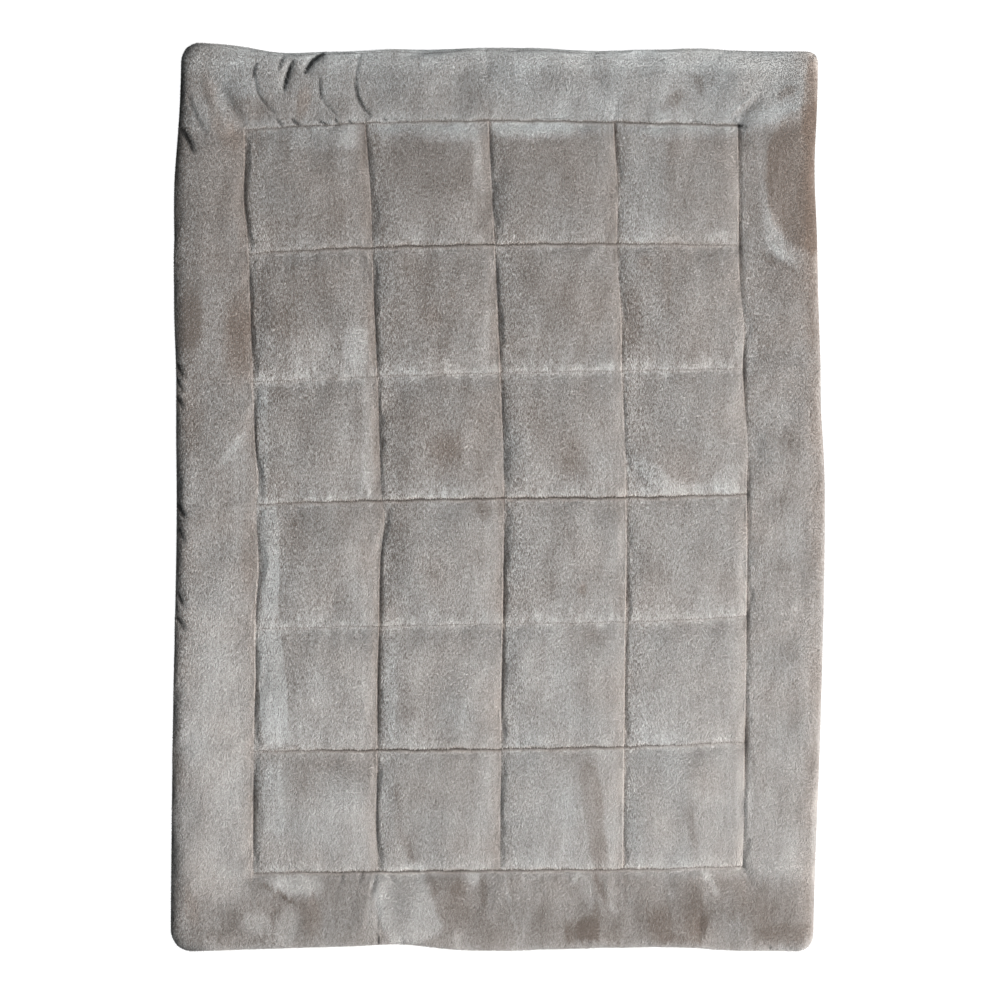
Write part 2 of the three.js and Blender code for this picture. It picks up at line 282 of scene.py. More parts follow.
# %% Folds of the border
# The last column is painted shade down inside the fold.
FOLDS = (  # from x, y to x, y in millimetres, bow at the middle, depth, half width, how dark it is inside
    (-380, 979, -424, 931, 7, 6, 3, 4.5),
    (-380, 979, -424, 931, 7, 6, 12, 0),
    (-448, 964, -470, 895, 3, 6, 3.5, 3),
    (-452, 961, -472, 891, 3, 5, 12, 0),
    (-470, 972, -483, 939, 0, 5, 3.5, 2),
    (-527, 957, -536, 924, 3, 4, 3.5, 1.8),
    (-534, 935, -485, 840, 15, 3.5, 4.5, 0.8),
    (-391, 922, -386, 873, 3, 3.5, 3.5, 1.7),
    (-386, 880, -351, 838, 5, 2.5, 4, 0.6),
    (-300, 977, -311, 917, 3, 2.5, 4, 0.7),
    (-311, 926, -276, 836, 13, 4, 4.5, 1.7),
    (-681, 887, -639, 796, 4, 4, 5, 1.2),
    (-698, 812, -668, 757, -3, 6, 6, 2.2),
    (-613, 913, -556, 816, 4, 5, 12, 0.15),
    (-639, 924, -588, 801, 6, -5, 13, 0),
    (507, 840, 573, 893, 0, -2.5, 6, 0),
    (529, 838, 582, 880, 0, 2.5, 8, 0.15),
    (578, 537, 659, 493, 0, 4, 7, 0.25),
    (522, 821, 549, 814, 1, 4, 3, 1.3),
    (-487, 832, -474, 814, 0, 4, 3, 1.3),
    (-454, 832, -437, 816, 0, 4, 3, 1.9),
    (-397, 829, -375, 818, 0, 4, 3, 1.6),
    (-360, 832, -349, 818, 0, 4, 3, 1.3),
    (-331, 829, -316, 818, 0, 4, 3, 1.4),
    (-254, 836, -243, 825, 0, 4, 3, 1.1),
    (-230, 832, -219, 825, 0, 3, 3, 0.9),
    (-707, 297, -690, 264, 0, 5, 5, 1.3),
    (-707, 262, -692, 233, 0, 4, 5, 1),
    (-707, 222, -690, 196, 0, 5, 5, 1.3),
    (-707, -13, -688, -46, 0, 5, 5, 1.4),
    (-705, -68, -688, -97, 0, 4, 5, 1.1),
    (-705, -209, -690, -240, 0, 5, 5, 1.2),
    (-707, -262, -685, -295, 0, 5, 5, 1.4),
    (-340, -825, -346, -851, 0, 3, 4, 0.6),
    (-298, -825, -307, -851, 0, 3, 4, 0.6),
    (-267, -829, -280, -876, 0, 3, 5, 0.4),
    (-237, -829, -230, -849, 0, 3, 4, 0.5),
    (155, -825, 162, -851, 0, 3, 4, 0.5),
    (221, -829, 239, -891, 2, 3, 5, 0.3),
    (454, -900, 441, -983, 3, 3, 7, 0.2),
    (-263, -966, -261, -990, 0, 3, 3, 1.2),
    (-208, -970, -206, -990, 0, 3, 3, 1),
    (199, -972, 204, -994, 0, 3, 3, 1),
    (331, -975, 336, -992, 0, 3, 3, 0.9),
    (595, -983, 602, -1001, 0, 3, 3, 1.2),
)
FOLD_STEPS = 24
FOLD_LIP, FOLD_LIP_REACH = 0.08, 2.6
FOLD_RIM = 14.0
FOLD_TAPER, FOLD_FAR = 0.4, 8.0
CORE_SHARE, DARK_CORE, DARK_EDGE = 0.65, 2.0, 0.8
print("folds:", len(FOLDS))


# %% Waves, rounds and marks
def ripple(x, y, length, seed):
    """Unevenness with no pattern, spread 1 about 0: a sum of waves of about that length in random
    directions."""
    rng = np.random.default_rng(seed)
    turn, phase = rng.uniform(0, 2 * np.pi, (2, RIPPLE_WAVES))
    pace = 2 * np.pi / length * rng.uniform(*RIPPLE_PACES, RIPPLE_WAVES)
    waves = (np.cos(p * (x * np.cos(t) + y * np.sin(t)) + f) for p, t, f in zip(pace, turn, phase))
    return sum(waves) / np.sqrt(RIPPLE_WAVES / 2)


def quarter_round(distance, roll):
    """From 0 at an edge to 1 at the end of the roll, along a quarter of an ellipse."""
    return np.sqrt(1 - np.clip(1 - distance / roll, 0, 1) ** 2)


def rise(gap, lip, share):
    """From 0 on a sewn line to 1 on the crown: a share of it in a tight quarter round, the rest in a
    wide parabola."""
    crown = 1 - np.clip(1 - gap / CHANNEL_CROWN, 0, 1) ** 2
    return share * quarter_round(gap, lip) + (1 - share) * crown


def seam_mark(spot, reach, long_strength=1.0, cross_strength=1.0, long_power=1):
    """1 on an open seam and 0 away from it: the stronger of two bells, across the nearest long and
    cross line, each as high as the line gapes there, or as a power of it. A long line's bell is narrow
    on the left, where the cloth lies smooth."""
    long_gape = [through(row, (spot["v"] - 1) / (ROWS - 2)) for row in LONG_OPEN]
    cross_gape = [through(row, (spot["u"] - 1) / (COLUMNS - 2)) for row in CROSS_OPEN]
    one_sided = np.where(spot["right_of"], GAPE_RIGHT, GAPE_LEFT) * reach
    gape = np.clip(np.choose(spot["long_line"], long_gape), 0, None) ** long_power
    long_mark = gape * bell(spot["long_gap"] / one_sided)
    cross_mark = np.choose(spot["cross_line"], cross_gape) * bell(spot["cross_gap"] / reach)
    return np.maximum(long_strength * long_mark, cross_strength * cross_mark)


def folded(x, y):
    """How far folds lower the face and how dark the painted shade is inside them: bells across each fold's
    bowed line, which fade towards its two ends as a root of a parabola, with a low wide lip on both sides.
    The painted shade is a narrow core in a wider bell."""
    lower, dark = np.zeros_like(x), np.zeros_like(x)
    t = np.linspace(0, 1, FOLD_STEPS)
    taper = (4 * t * (1 - t)) ** FOLD_TAPER
    for x0, y0, x1, y1, bow, deep, wide, inside in FOLDS:
        size = math.hypot(x1 - x0, y1 - y0)
        arch = 4 * bow * t * (1 - t)
        line_x = x0 + (x1 - x0) * t + arch * (y1 - y0) / size
        line_y = y0 + (y1 - y0) * t - arch * (x1 - x0) / size
        near = np.hypot(x - (x0 + x1) / 2, y - (y0 + y1) / 2) < size + FOLD_FAR * wide
        gaps = np.hypot(x[near][:, None] - line_x, y[near][:, None] - line_y)
        fade = taper[gaps.argmin(axis=1)]
        gap = gaps.min(axis=1) / wide
        lower[near] += deep * fade * (bell(gap) * (1 + FOLD_LIP) - FOLD_LIP * bell(gap / FOLD_LIP_REACH))
        depth = CORE_SHARE * bell(DARK_CORE * gap) + (1 - CORE_SHARE) * bell(DARK_EDGE * gap)
        dark[near] += inside * fade * depth
    return lower, dark


# %% Heights of the face and of the back
def face_height(spot):
    """Pillowed squares and a rolled border, with lumps and folds where the place is plump, and a narrow
    pull of the thread along every sewn line. A square's height is the product of its rises from the
    long and the cross lines, and the border starts from the height that the square has on their common
    line. In the corners the border's rise turns from one line's to the other's with the direction."""
    x, y = spot["x"], spot["y"]
    long_share = np.where(spot["right_of"], LIP_SHARES["right"], LIP_SHARES["left"])
    cross_share = np.where(spot["below_of"], LIP_SHARES["below"], LIP_SHARES["above"])
    pinch = LONG_PINCH[spot["long_line"]]
    from_end = rise(spot["from_cross"], CROSS_LIP, cross_share)
    pillow = (1 - pinch * (1 - rise(spot["long_gap"], LONG_LIP, long_share))) * from_end
    on_line = np.where(spot["in_end"], 0, (1 - pinch) * from_end) * spot["in_side"]
    beyond = np.hypot(spot["past_side"], spot["past_end"])
    sideways = (spot["past_side"] / np.maximum(beyond, TINY)) ** 2
    out = sideways * rise(beyond, LONG_LIP, long_share)
    out = out + (1 - sideways) * rise(beyond, CROSS_LIP, cross_share)
    lift = np.where(spot["in_border"], on_line + (1 - on_line) * out, pillow)
    roll = np.where(spot["in_border"], quarter_round(spot["rim"], RIM_ROLL), 1)
    top = EDGE_SEAM + (CROWN - EDGE_SEAM) * roll
    lumps = LUMP_HEIGHT * lift * roll * ripple(x, y, LUMP_LENGTH, SEED)
    folds = quarter_round(spot["rim"], FOLD_RIM) * np.where(spot["in_border"], folded(x, y)[0], 0)
    pull = STITCH_PULL * seam_mark(spot, STITCH_REACH, LONG_PULL)
    return CHANNEL_FACE + (top - CHANNEL_FACE) * lift + lumps - folds - pull


def back_height(spot):
    """The back lies flat, and lifts along the sewn lines and up to the rim in quarter rounds."""
    lift = CHANNEL_BACK * (1 - quarter_round(from_seam(spot), CHANNEL_TUCK))
    return np.maximum(lift, EDGE_SEAM * (1 - quarter_round(spot["rim"], RIM_TUCK)))


# %% [markdown]
# ## Stations of the grid
# A grid with even steps would waste points on the flat crowns and miss the channels. The stations here
# crowd towards the sewn lines, step evenly round the quarter circle at the rim, and are closest in the
# head and left borders, where the folds are.

# %% Stations
STEPS_ACROSS = (28, 88, 34, 34, 34, 20)
STEPS_DOWN = (40, 34, 34, 34, 34, 34, 34, 24)
CROWDING_ACROSS = (0.5, 0.35, 0.7, 0.7, 0.7, 0.5)
CROWDING_DOWN = (0.5, 0.7, 0.7, 0.7, 0.7, 0.7, 0.7, 0.5)
RIM_STEPS = 10
BORDER_WIDTH = 165.0


def border_shares(rim_steps, steps, crowding):
    """Shares from the rim to the first sewn line: even angles round the rim's roll, then steps that
    crowd towards the sewn line along a sine."""
    start = RIM_ROLL / BORDER_WIDTH
    angle = np.arange(rim_steps) / rim_steps * np.pi / 2
    even = np.linspace(0, 1, steps + 1)
    eased = even + crowding * (np.sin(np.pi / 2 * even) - even)
    return np.concatenate([start * (1 - np.cos(angle)), start + (1 - start) * eased])


def stations(steps, rim_steps, crowding):
    """Stations across all cells, with the given steps in each: a border, the squares and the other
    border. A square's even shares lose a sine wave, which crowds them to both its sewn sides."""
    runs = [border_shares(rim_steps, steps[0], crowding[0])[:-1]]
    for cell in range(1, len(steps) - 1):
        even = np.arange(steps[cell]) / steps[cell]
        runs.append(cell + even - crowding[cell] * np.sin(2 * np.pi * even) / (2 * np.pi))
    runs.append(len(steps) - border_shares(rim_steps, steps[-1], crowding[-1])[::-1])
    return np.concatenate(runs)


face_u = stations(STEPS_ACROSS, RIM_STEPS, CROWDING_ACROSS)
face_v = stations(STEPS_DOWN, RIM_STEPS, CROWDING_DOWN)
print("face grid:", len(face_u), "x", len(face_v))

# %% [markdown]
# ## Swelling the cloth
# On the real quilt the cloth is a little larger than the space between its stitches, so it buckles into
# small puckers beside the sewn lines when the wadding pushes it up. Blender's cloth does just that: the main
# form is pinned on every sewn line and round the rim, given a few thousandths of spare cloth and a light
# pressure, and stepped through a set number of frames. How far each point moved is kept and laid over the
# finer grid.

# %% Grids and meshes
def grid_quads(index):
    """Four corners of every cell of a grid of vertex numbers, wound so that the face points up."""
    corners = [index[:-1, :-1], index[1:, :-1], index[1:, 1:], index[:-1, 1:]]
    return np.stack([c.ravel() for c in corners], axis=1)


def unit(vectors):
    """Vectors scaled to length 1."""
    return vectors / np.maximum(np.linalg.norm(vectors, axis=-1, keepdims=True), TINY)


def grid_normals(points):
    """Unit normals of a grid of points: the cross product of the steps along its two directions."""
    return unit(np.cross(np.gradient(points, axis=0), np.gradient(points, axis=1)))


def new_mesh(name, points, face_sets):
    """A mesh from an array of points and arrays of faces, each array holding faces of one size."""
    mesh = bpy.data.meshes.new(name)
    sizes = np.concatenate([np.full(len(faces), faces.shape[1]) for faces in face_sets])
    corners = np.concatenate([faces.ravel() for faces in face_sets])
    mesh.vertices.add(len(points))
    mesh.vertices.foreach_set("co", np.ascontiguousarray(points, np.float32).ravel())
    mesh.loops.add(len(corners))
    mesh.loops.foreach_set("vertex_index", corners.astype(np.int32))
    mesh.polygons.add(len(sizes))
    mesh.polygons.foreach_set("loop_start", (np.cumsum(sizes) - sizes).astype(np.int32))
    mesh.update(calc_edges=True)
    return mesh


def into_scene(name, data):
    """Puts a mesh, a light or a camera into the scene as an object."""
    thing = bpy.data.objects.new(name, data)
    bpy.context.scene.collection.objects.link(thing)
    return thing


def sampled(field, u, v):
    """A field on the face grid read at any stations: the mean of its four nearest values, weighted by
    nearness."""
    at_u = np.interp(u, face_u, np.arange(len(face_u)))
    at_v = np.interp(v, face_v, np.arange(len(face_v)))
    i = np.minimum(at_v.astype(int), len(face_v) - 2)
    j = np.minimum(at_u.astype(int), len(face_u) - 2)
    s, t = (at_v - i)[..., None], (at_u - j)[..., None]
    upper = field[i, j] * (1 - t) + field[i, j + 1] * t
    lower = field[i + 1, j] * (1 - t) + field[i + 1, j + 1] * t
    return upper * (1 - s) + lower * s


# %% Cloth simulation
SWELL_FRAMES = 20
SWELL_CAP = 2.5 * MM
HELD_WITHIN = 0.5
CLOTH = {  # limp cloth under a light pressure, with four thousandths to spare
    "quality": 5, "mass": 0.3, "vertex_group_mass": "sewn",
    "tension_stiffness": 15, "compression_stiffness": 15, "shear_stiffness": 5, "bending_stiffness": 0.4,
    "use_pressure": True, "uniform_pressure_force": 0.08, "shrink_min": -0.004,
}


def swell(points, sewn):
    """How far Blender's cloth moves each point of a grid that is pinned where sewn is true, never past
    the cap."""
    index = np.arange(sewn.size).reshape(sewn.shape)
    flat = points.reshape(-1, 3)
    trial = into_scene("swelling", new_mesh("swelling", flat, [grid_quads(index)]))
    trial.vertex_groups.new(name="sewn").add(index[sewn].tolist(), 1.0, "REPLACE")
    cloth = trial.modifiers.new("cloth", "CLOTH")
    for name, value in CLOTH.items():
        setattr(cloth.settings, name, value)
    cloth.settings.effector_weights.gravity = 0
    cloth.collision_settings.use_collision = False
    cloth.point_cache.frame_end = SWELL_FRAMES
    for step in range(1, SWELL_FRAMES + 1):
        bpy.context.scene.frame_set(step)
    settled = trial.evaluated_get(bpy.context.evaluated_depsgraph_get()).to_mesh()
    moved = np.empty(flat.size, np.float32)
    settled.vertices.foreach_get("co", moved)
    bpy.data.objects.remove(trial)
    bpy.context.scene.frame_set(1)
    shift = moved.reshape(-1, 3) - flat
    far = np.linalg.norm(shift, axis=1, keepdims=True)
    shift *= np.minimum(1, SWELL_CAP / np.maximum(far, TINY))
    print("swelling, mm:", round(far.mean() / MM, 2), "mean,", round(far.max() / MM, 2), "most")
    return shift.reshape(points.shape)


def doubled(field):
    """A field with twice as many steps down: between every two rows comes their mean."""
    row = np.arange(2 * len(field) - 1)
    return (field[row // 2] + field[(row + 1) // 2]) / 2


spots = lay_out(face_u[None, :], face_v[:, None])
face = to_frame(spots["x"], spots["y"], face_height(spots))
coarse = np.s_[::2, ::2]
held = np.minimum(from_seam(spots), spots["rim"]) < HELD_WITHIN
shift = doubled(swell(face[coarse], held[coarse]))
face = face + doubled(shift.swapaxes(0, 1)).swapaxes(0, 1)

# %% [markdown]
# ## The cloth under the pile
# What was worked out so far is the pile's outer surface. The woven ground that carries the pile lies
# one pile depth further in, so every point steps in along its normal, less where the stitching presses
# the pile flat. Face and back are one closed skin: the back uses every second station and shares the
# rim's points with the face.

# %% Ground of the face and of the back
PILE_DEPTH = 3.2
FLAT_PILE = 0.6
SEAM_PRESS = 10.0
RIM_PILE = 0.4


def pile_share(spot):
    """How deep the pile is, 1 on open cloth: pressed flat beside the sewn lines and short round the
    rim."""
    pressed = FLAT_PILE + (1 - FLAT_PILE) * quarter_round(from_seam(spot), SEAM_PRESS)
    return pressed * (RIM_PILE + (1 - RIM_PILE) * quarter_round(spot["rim"], RIM_ROLL))


face_normal = grid_normals(face)
ground = face - face_normal * (PILE_DEPTH * MM * pile_share(spots))[..., None]

back_spots = lay_out(face_u[None, ::2], face_v[::2, None])
back = to_frame(back_spots["x"], back_spots["y"], back_height(back_spots))
back_normal = -grid_normals(back)
tuck = 1 - quarter_round(back_spots["rim"], RIM_TUCK)
back = back - back_normal * (PILE_DEPTH * RIM_PILE * MM * tuck)[..., None]
back[..., 2] = np.maximum(back[..., 2], 0)
print("cloth below the pile, mm at most:", round(np.abs(face - ground).max() / MM, 2))


# %% One closed skin
def skin_faces(face_index, back_index):
    """The face's quads, the back's quads turned down, and the back's outer cells, whose outer sides
    take in the rim point that the back's own stations skip."""
    a, d = back_index[:-1, :-1], back_index[1:, :-1]
    b, c = back_index[:-1, 1:], back_index[1:, 1:]
    head, foot = face_index[0, 1::2], face_index[-1, 1::2]
    left, right = face_index[1::2, 0], face_index[1::2, -1]
    inner, middle = np.s_[1:-1, 1:-1], np.s_[1:-1]
    quads = np.stack([a[inner].ravel(), b[inner].ravel(), c[inner].ravel(), d[inner].ravel()], axis=1)
    sides = [
        (a[0], head, b[0], c[0], d[0]),
        (a[-1], b[-1], c[-1], foot, d[-1]),
        (a[:, 0], b[:, 0], c[:, 0], d[:, 0], left),
        (a[:, -1], b[:, -1], right, c[:, -1], d[:, -1]),
    ]
    fives = np.concatenate([np.stack(side, axis=1)[middle] for side in sides])
    corners = np.array([
        (a[0, 0], head[0], b[0, 0], c[0, 0], d[0, 0], left[0]),
        (a[0, -1], head[-1], b[0, -1], right[0], c[0, -1], d[0, -1]),
        (a[-1, 0], b[-1, 0], c[-1, 0], foot[0], d[-1, 0], left[-1]),
        (a[-1, -1], b[-1, -1], right[-1], c[-1, -1], foot[-1], d[-1, -1]),
    ])
    return [grid_quads(face_index), quads, fives, corners]


face_index = np.arange(ground[..., 0].size).reshape(ground.shape[:2])
back_index = face_index[::2, ::2].copy()
inside = np.s_[1:-1, 1:-1]
back_index[inside] = face_index.size + np.arange(back_index[inside].size).reshape(back_index[inside].shape)
skin = np.concatenate([ground.reshape(-1, 3), back[inside].reshape(-1, 3)])
cover_mesh = new_mesh("quilt_cover", skin, skin_faces(face_index, back_index))


def add_piece(mesh, smooth):
    """Puts a mesh into the scene, shaded smooth or flat, as a piece that rides on the part's body."""
    mesh.polygons.foreach_set("use_smooth", np.full(len(mesh.polygons), smooth))
    piece = into_scene(mesh.name, mesh)
    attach(piece, BODY)
    return piece


cover = add_piece(cover_mesh, smooth=True)
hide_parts(NODE)
print("cover faces:", len(cover_mesh.polygons))

# %% [markdown]
# ## How the nap lies
# Plush looks light where its fibres lean towards the light and dark where they lean away, so every
# stroke of a hand leaves a patch, mostly with its long side along the cloth and often ended by a seam.
# The nap is two numbers for every place, tone from -1 for dark to 1 for light and warmth from -1 for cool to
# 1 for warm. Strokes are listed one by one. Painted light comes on top: light lips on the slopes beside the
# cross lines, warm flanks on the slopes left of the long lines, which face the lamp, bells of light and
# shade along the rims, a warm tint in the painted shade of the seams, and a tone that grows towards the foot
# and the right.

# %% Strokes on the head and side borders
BORDER_STROKES = (  # x, y, half width, half height in millimetres, turn, roundness, softness, tone, warmth
    (10, 900, 700, 95, 0, 6, 0.25, 0.46, -0.8),
    (358, 961, 330, 24, 0, 4, 0.5, 0.5, 0),
    (-280, 957, 231, 20, 0, 4, 0.6, 0.3, 0),
    (-148, 867, 154, 31, 0, 4, 0.6, -0.25, 0.2),
    (-435, 858, 132, 31, 0, 4, 0.5, -0.25, 0.4),
    (-426, 873, 15, 40, -15, 2, 0.6, -0.1, 1.2),
    (-544, 856, 44, 26, 0, 2, 0.6, -0.3, 0.4),
    (-606, 966, 62, 31, 0, 2, 0.6, 0.3, 0),
    (-630, 873, 13, 57, 10, 2, 0.6, 0, 1.3),
    (-597, 807, 20, 40, 30, 2, 0.6, 0, 1),
    (-578, 884, 26, 35, 35, 2, 0.6, -0.25, -0.3),
    (-50, 902, 26, 40, 0, 2, 0.8, -0.3, 0),
    (153, 884, 22, 55, -30, 2, 0.6, 0.2, 0),
    (382, 871, 31, 15, 35, 2, 0.5, -0.85, 0.2),
    (443, 909, 9, 24, 8, 2, 0.5, -0.95, 0.1),
    (463, 926, 18, 26, 0, 2, 0.6, -0.4, 0),
    (637, 891, 24, 11, 15, 2, 0.5, -0.7, 0.6),
    (622, 843, 57, 18, 8, 4, 0.5, 0.35, -0.3),
    (538, 867, 42, 4, 38, 2, 0.8, 0.6, 0),
    (551, 856, 31, 11, 38, 2, 0.6, -0.3, 0),
    (696, 702, 108, 163, 0, 2, 0.06, -0.58, 1),
    (690, 887, 18, 84, -6, 3, 0.4, -0.45, 0.9),
    (608, 583, 18, 59, 12, 2, 0.45, 0.7, -0.1),
    (628, 532, 35, 13, -32, 2, 0.5, 0.5, -0.2),
    (610, 515, 44, 9, -25, 2, 0.6, -0.4, 0.1),
    (584, 708, 9, 77, 0, 4, 0.8, 0.3, -0.2),
    (556, 774, 18, 31, 0, 2, 0.6, -0.3, 0),
    (692, 730, 15, 242, 0, 6, 0.8, -0.15, 0.7),
    (644, 466, 62, 44, 0, 2, 0.8, -0.2, 0.2),
    (591, 330, 20, 40, 0, 2, 0.8, -0.25, 0),
    (610, 187, 33, 31, 0, 2, 0.7, 0.35, 0),
    (632, 125, 26, 18, 0, 2, 0.7, -0.3, 0),
    (622, -7, 22, 20, 0, 2, 0.7, -0.35, 0),
    (626, -150, 26, 13, 0, 2, 0.7, -0.35, 0),
    (659, -220, 9, 40, 0, 2, 0.8, 0.35, 0),
    (644, -337, 18, 31, 0, 2, 0.7, -0.35, 0),
    (644, -722, 15, 99, 0, 4, 0.6, 0.25, 0),
    (635, -7, 66, 814, 0, 6, 0.3, -0.11, 0),
    (-681, 620, 31, 165, 0, 4, 0.6, -0.2, -0.4),
    (-610, 640, 59, 169, 0, 4, 0.7, -0.1, 0.3),
    (-571, 356, 29, 84, 0, 2, 0.9, -0.75, 1.3),
    (-676, 394, 29, 66, 0, 2, 0.6, -1.2, 0.3),
    (-670, 202, 26, 99, 0, 2, 0.7, -0.3, 0.2),
    (-584, 106, 9, 51, -34, 2, 0.4, 0.55, -0.1),
    (-551, -106, 13, 88, 0, 2, 0.7, -0.2, 0.6),
    (-622, -458, 66, 209, 0, 4, 0.5, 0.5, 0.1),
    (-622, -601, 75, 440, 0, 4, 0.5, 0.12, 0.1),
)

# %% Strokes on the foot border
FOOT_STROKES = (  # the same columns, from the left to the right
    (-1, -920, 700, 90, 0, 6, 0.25, -0.66, 0.15),
    (-606, -854, 53, 40, 0, 2, 0.6, 0.65, 0.2),
    (-380, -893, 158, 79, 0, 4, 0.4, 0.12, 0),
    (314, -931, 330, 44, 0, 4, 0.6, -0.25, 0),
    (-672, -902, 15, 40, 10, 2, 0.6, -0.2, 0.8),
    (-586, -935, 24, 26, 15, 3, 0.35, -0.27, 0),
    (-619, -961, 20, 13, 0, 2, 0.6, -0.45, 0),
    (-529, -937, 35, 24, -10, 2, 0.45, 0.65, 0),
    (-487, -917, 8, 26, -12, 2, 0.6, -0.35, 0),
    (-527, -970, 22, 8, 12, 2, 0.6, -0.3, 0),
    (-483, -871, 44, 6, -31, 2, 0.5, -0.9, 0.2),
    (-441, -854, 55, 20, 0, 3, 0.6, 1.15, 0.1),
    (-463, -944, 22, 40, -8, 3, 0.5, 0.65, 0),
    (-410, -920, 22, 44, 8, 3, 0.5, -0.25, 0.8),
    (-346, -913, 40, 75, 0, 4, 0.3, -0.1, -0.2),
    (-201, -898, 62, 84, 18, 8, 0.12, 0.8, -0.2),
    (-270, -924, 20, 48, -8, 3, 0.6, 0.5, -0.1),
    (-283, -882, 4, 57, -9, 3, 0.8, 0.35, 0.4),
    (-243, -893, 20, 20, 0, 2, 0.6, -0.2, 0),
    (-144, -851, 13, 26, 14, 2, 0.5, -0.45, 0.3),
    (-87, -860, 18, 20, 0, 2, 0.5, -0.45, 0.4),
    (-94, -920, 31, 44, 10, 2, 0.6, -0.2, 0.5),
    (-52, -838, 13, 18, 15, 2, 0.5, 0.7, -0.1),
    (-32, -865, 9, 29, 8, 2, 0.5, -0.5, 0.2),
    (-16, -913, 9, 31, 10, 2, 0.6, 0.3, 0),
    (-89, -970, 9, 20, 0, 2, 0.5, 0.6, 0.2),
    (28, -893, 3, 64, 13, 4, 0.7, 0.6, 0),
    (105, -898, 70, 79, 13, 6, 0.25, 0.22, 0.1),
    (173, -836, 6, 15, -25, 2, 0.5, 0.9, -0.1),
    (199, -871, 11, 44, 14, 2, 0.6, 0.45, 0),
    (228, -862, 7, 33, 22, 2, 0.5, -0.6, 0.6),
    (250, -898, 6, 26, 35, 2, 0.6, 0.5, 0),
    (157, -955, 10, 24, 5, 2, 0.45, -0.8, 0.3),
    (197, -950, 26, 24, 0, 3, 0.4, -1.5, 0.4),
    (219, -920, 9, 26, 14, 2, 0.6, -0.4, 0.3),
    (280, -898, 26, 62, 10, 2, 0.6, 0.15, 0.2),
    (360, -942, 24, 42, 0, 3, 0.6, -0.4, 0.4),
    (377, -856, 4, 31, 16, 2, 0.6, 0.4, 0),
    (428, -898, 29, 57, 8, 3, 0.6, -0.35, 0.6),
    (459, -834, 13, 6, -35, 2, 0.5, 0.9, 0),
    (479, -856, 6, 20, 20, 2, 0.5, 0.9, -0.1),
    (507, -953, 44, 26, 0, 3, 0.5, 0.4, 0),
    (446, -953, 13, 33, -20, 2, 0.5, -0.5, 0.2),
    (391, -972, 35, 9, 0, 2, 0.6, -0.4, 0.1),
    (514, -876, 31, 48, 0, 3, 0.6, -0.05, 0.5),
    (610, -920, 70, 75, 0, 4, 0.5, -0.2, 0.1),
    (644, -957, 48, 20, 0, 3, 0.6, -0.35, 0.4),
    (582, -961, 18, 15, 0, 2, 0.6, -0.3, 0),
)

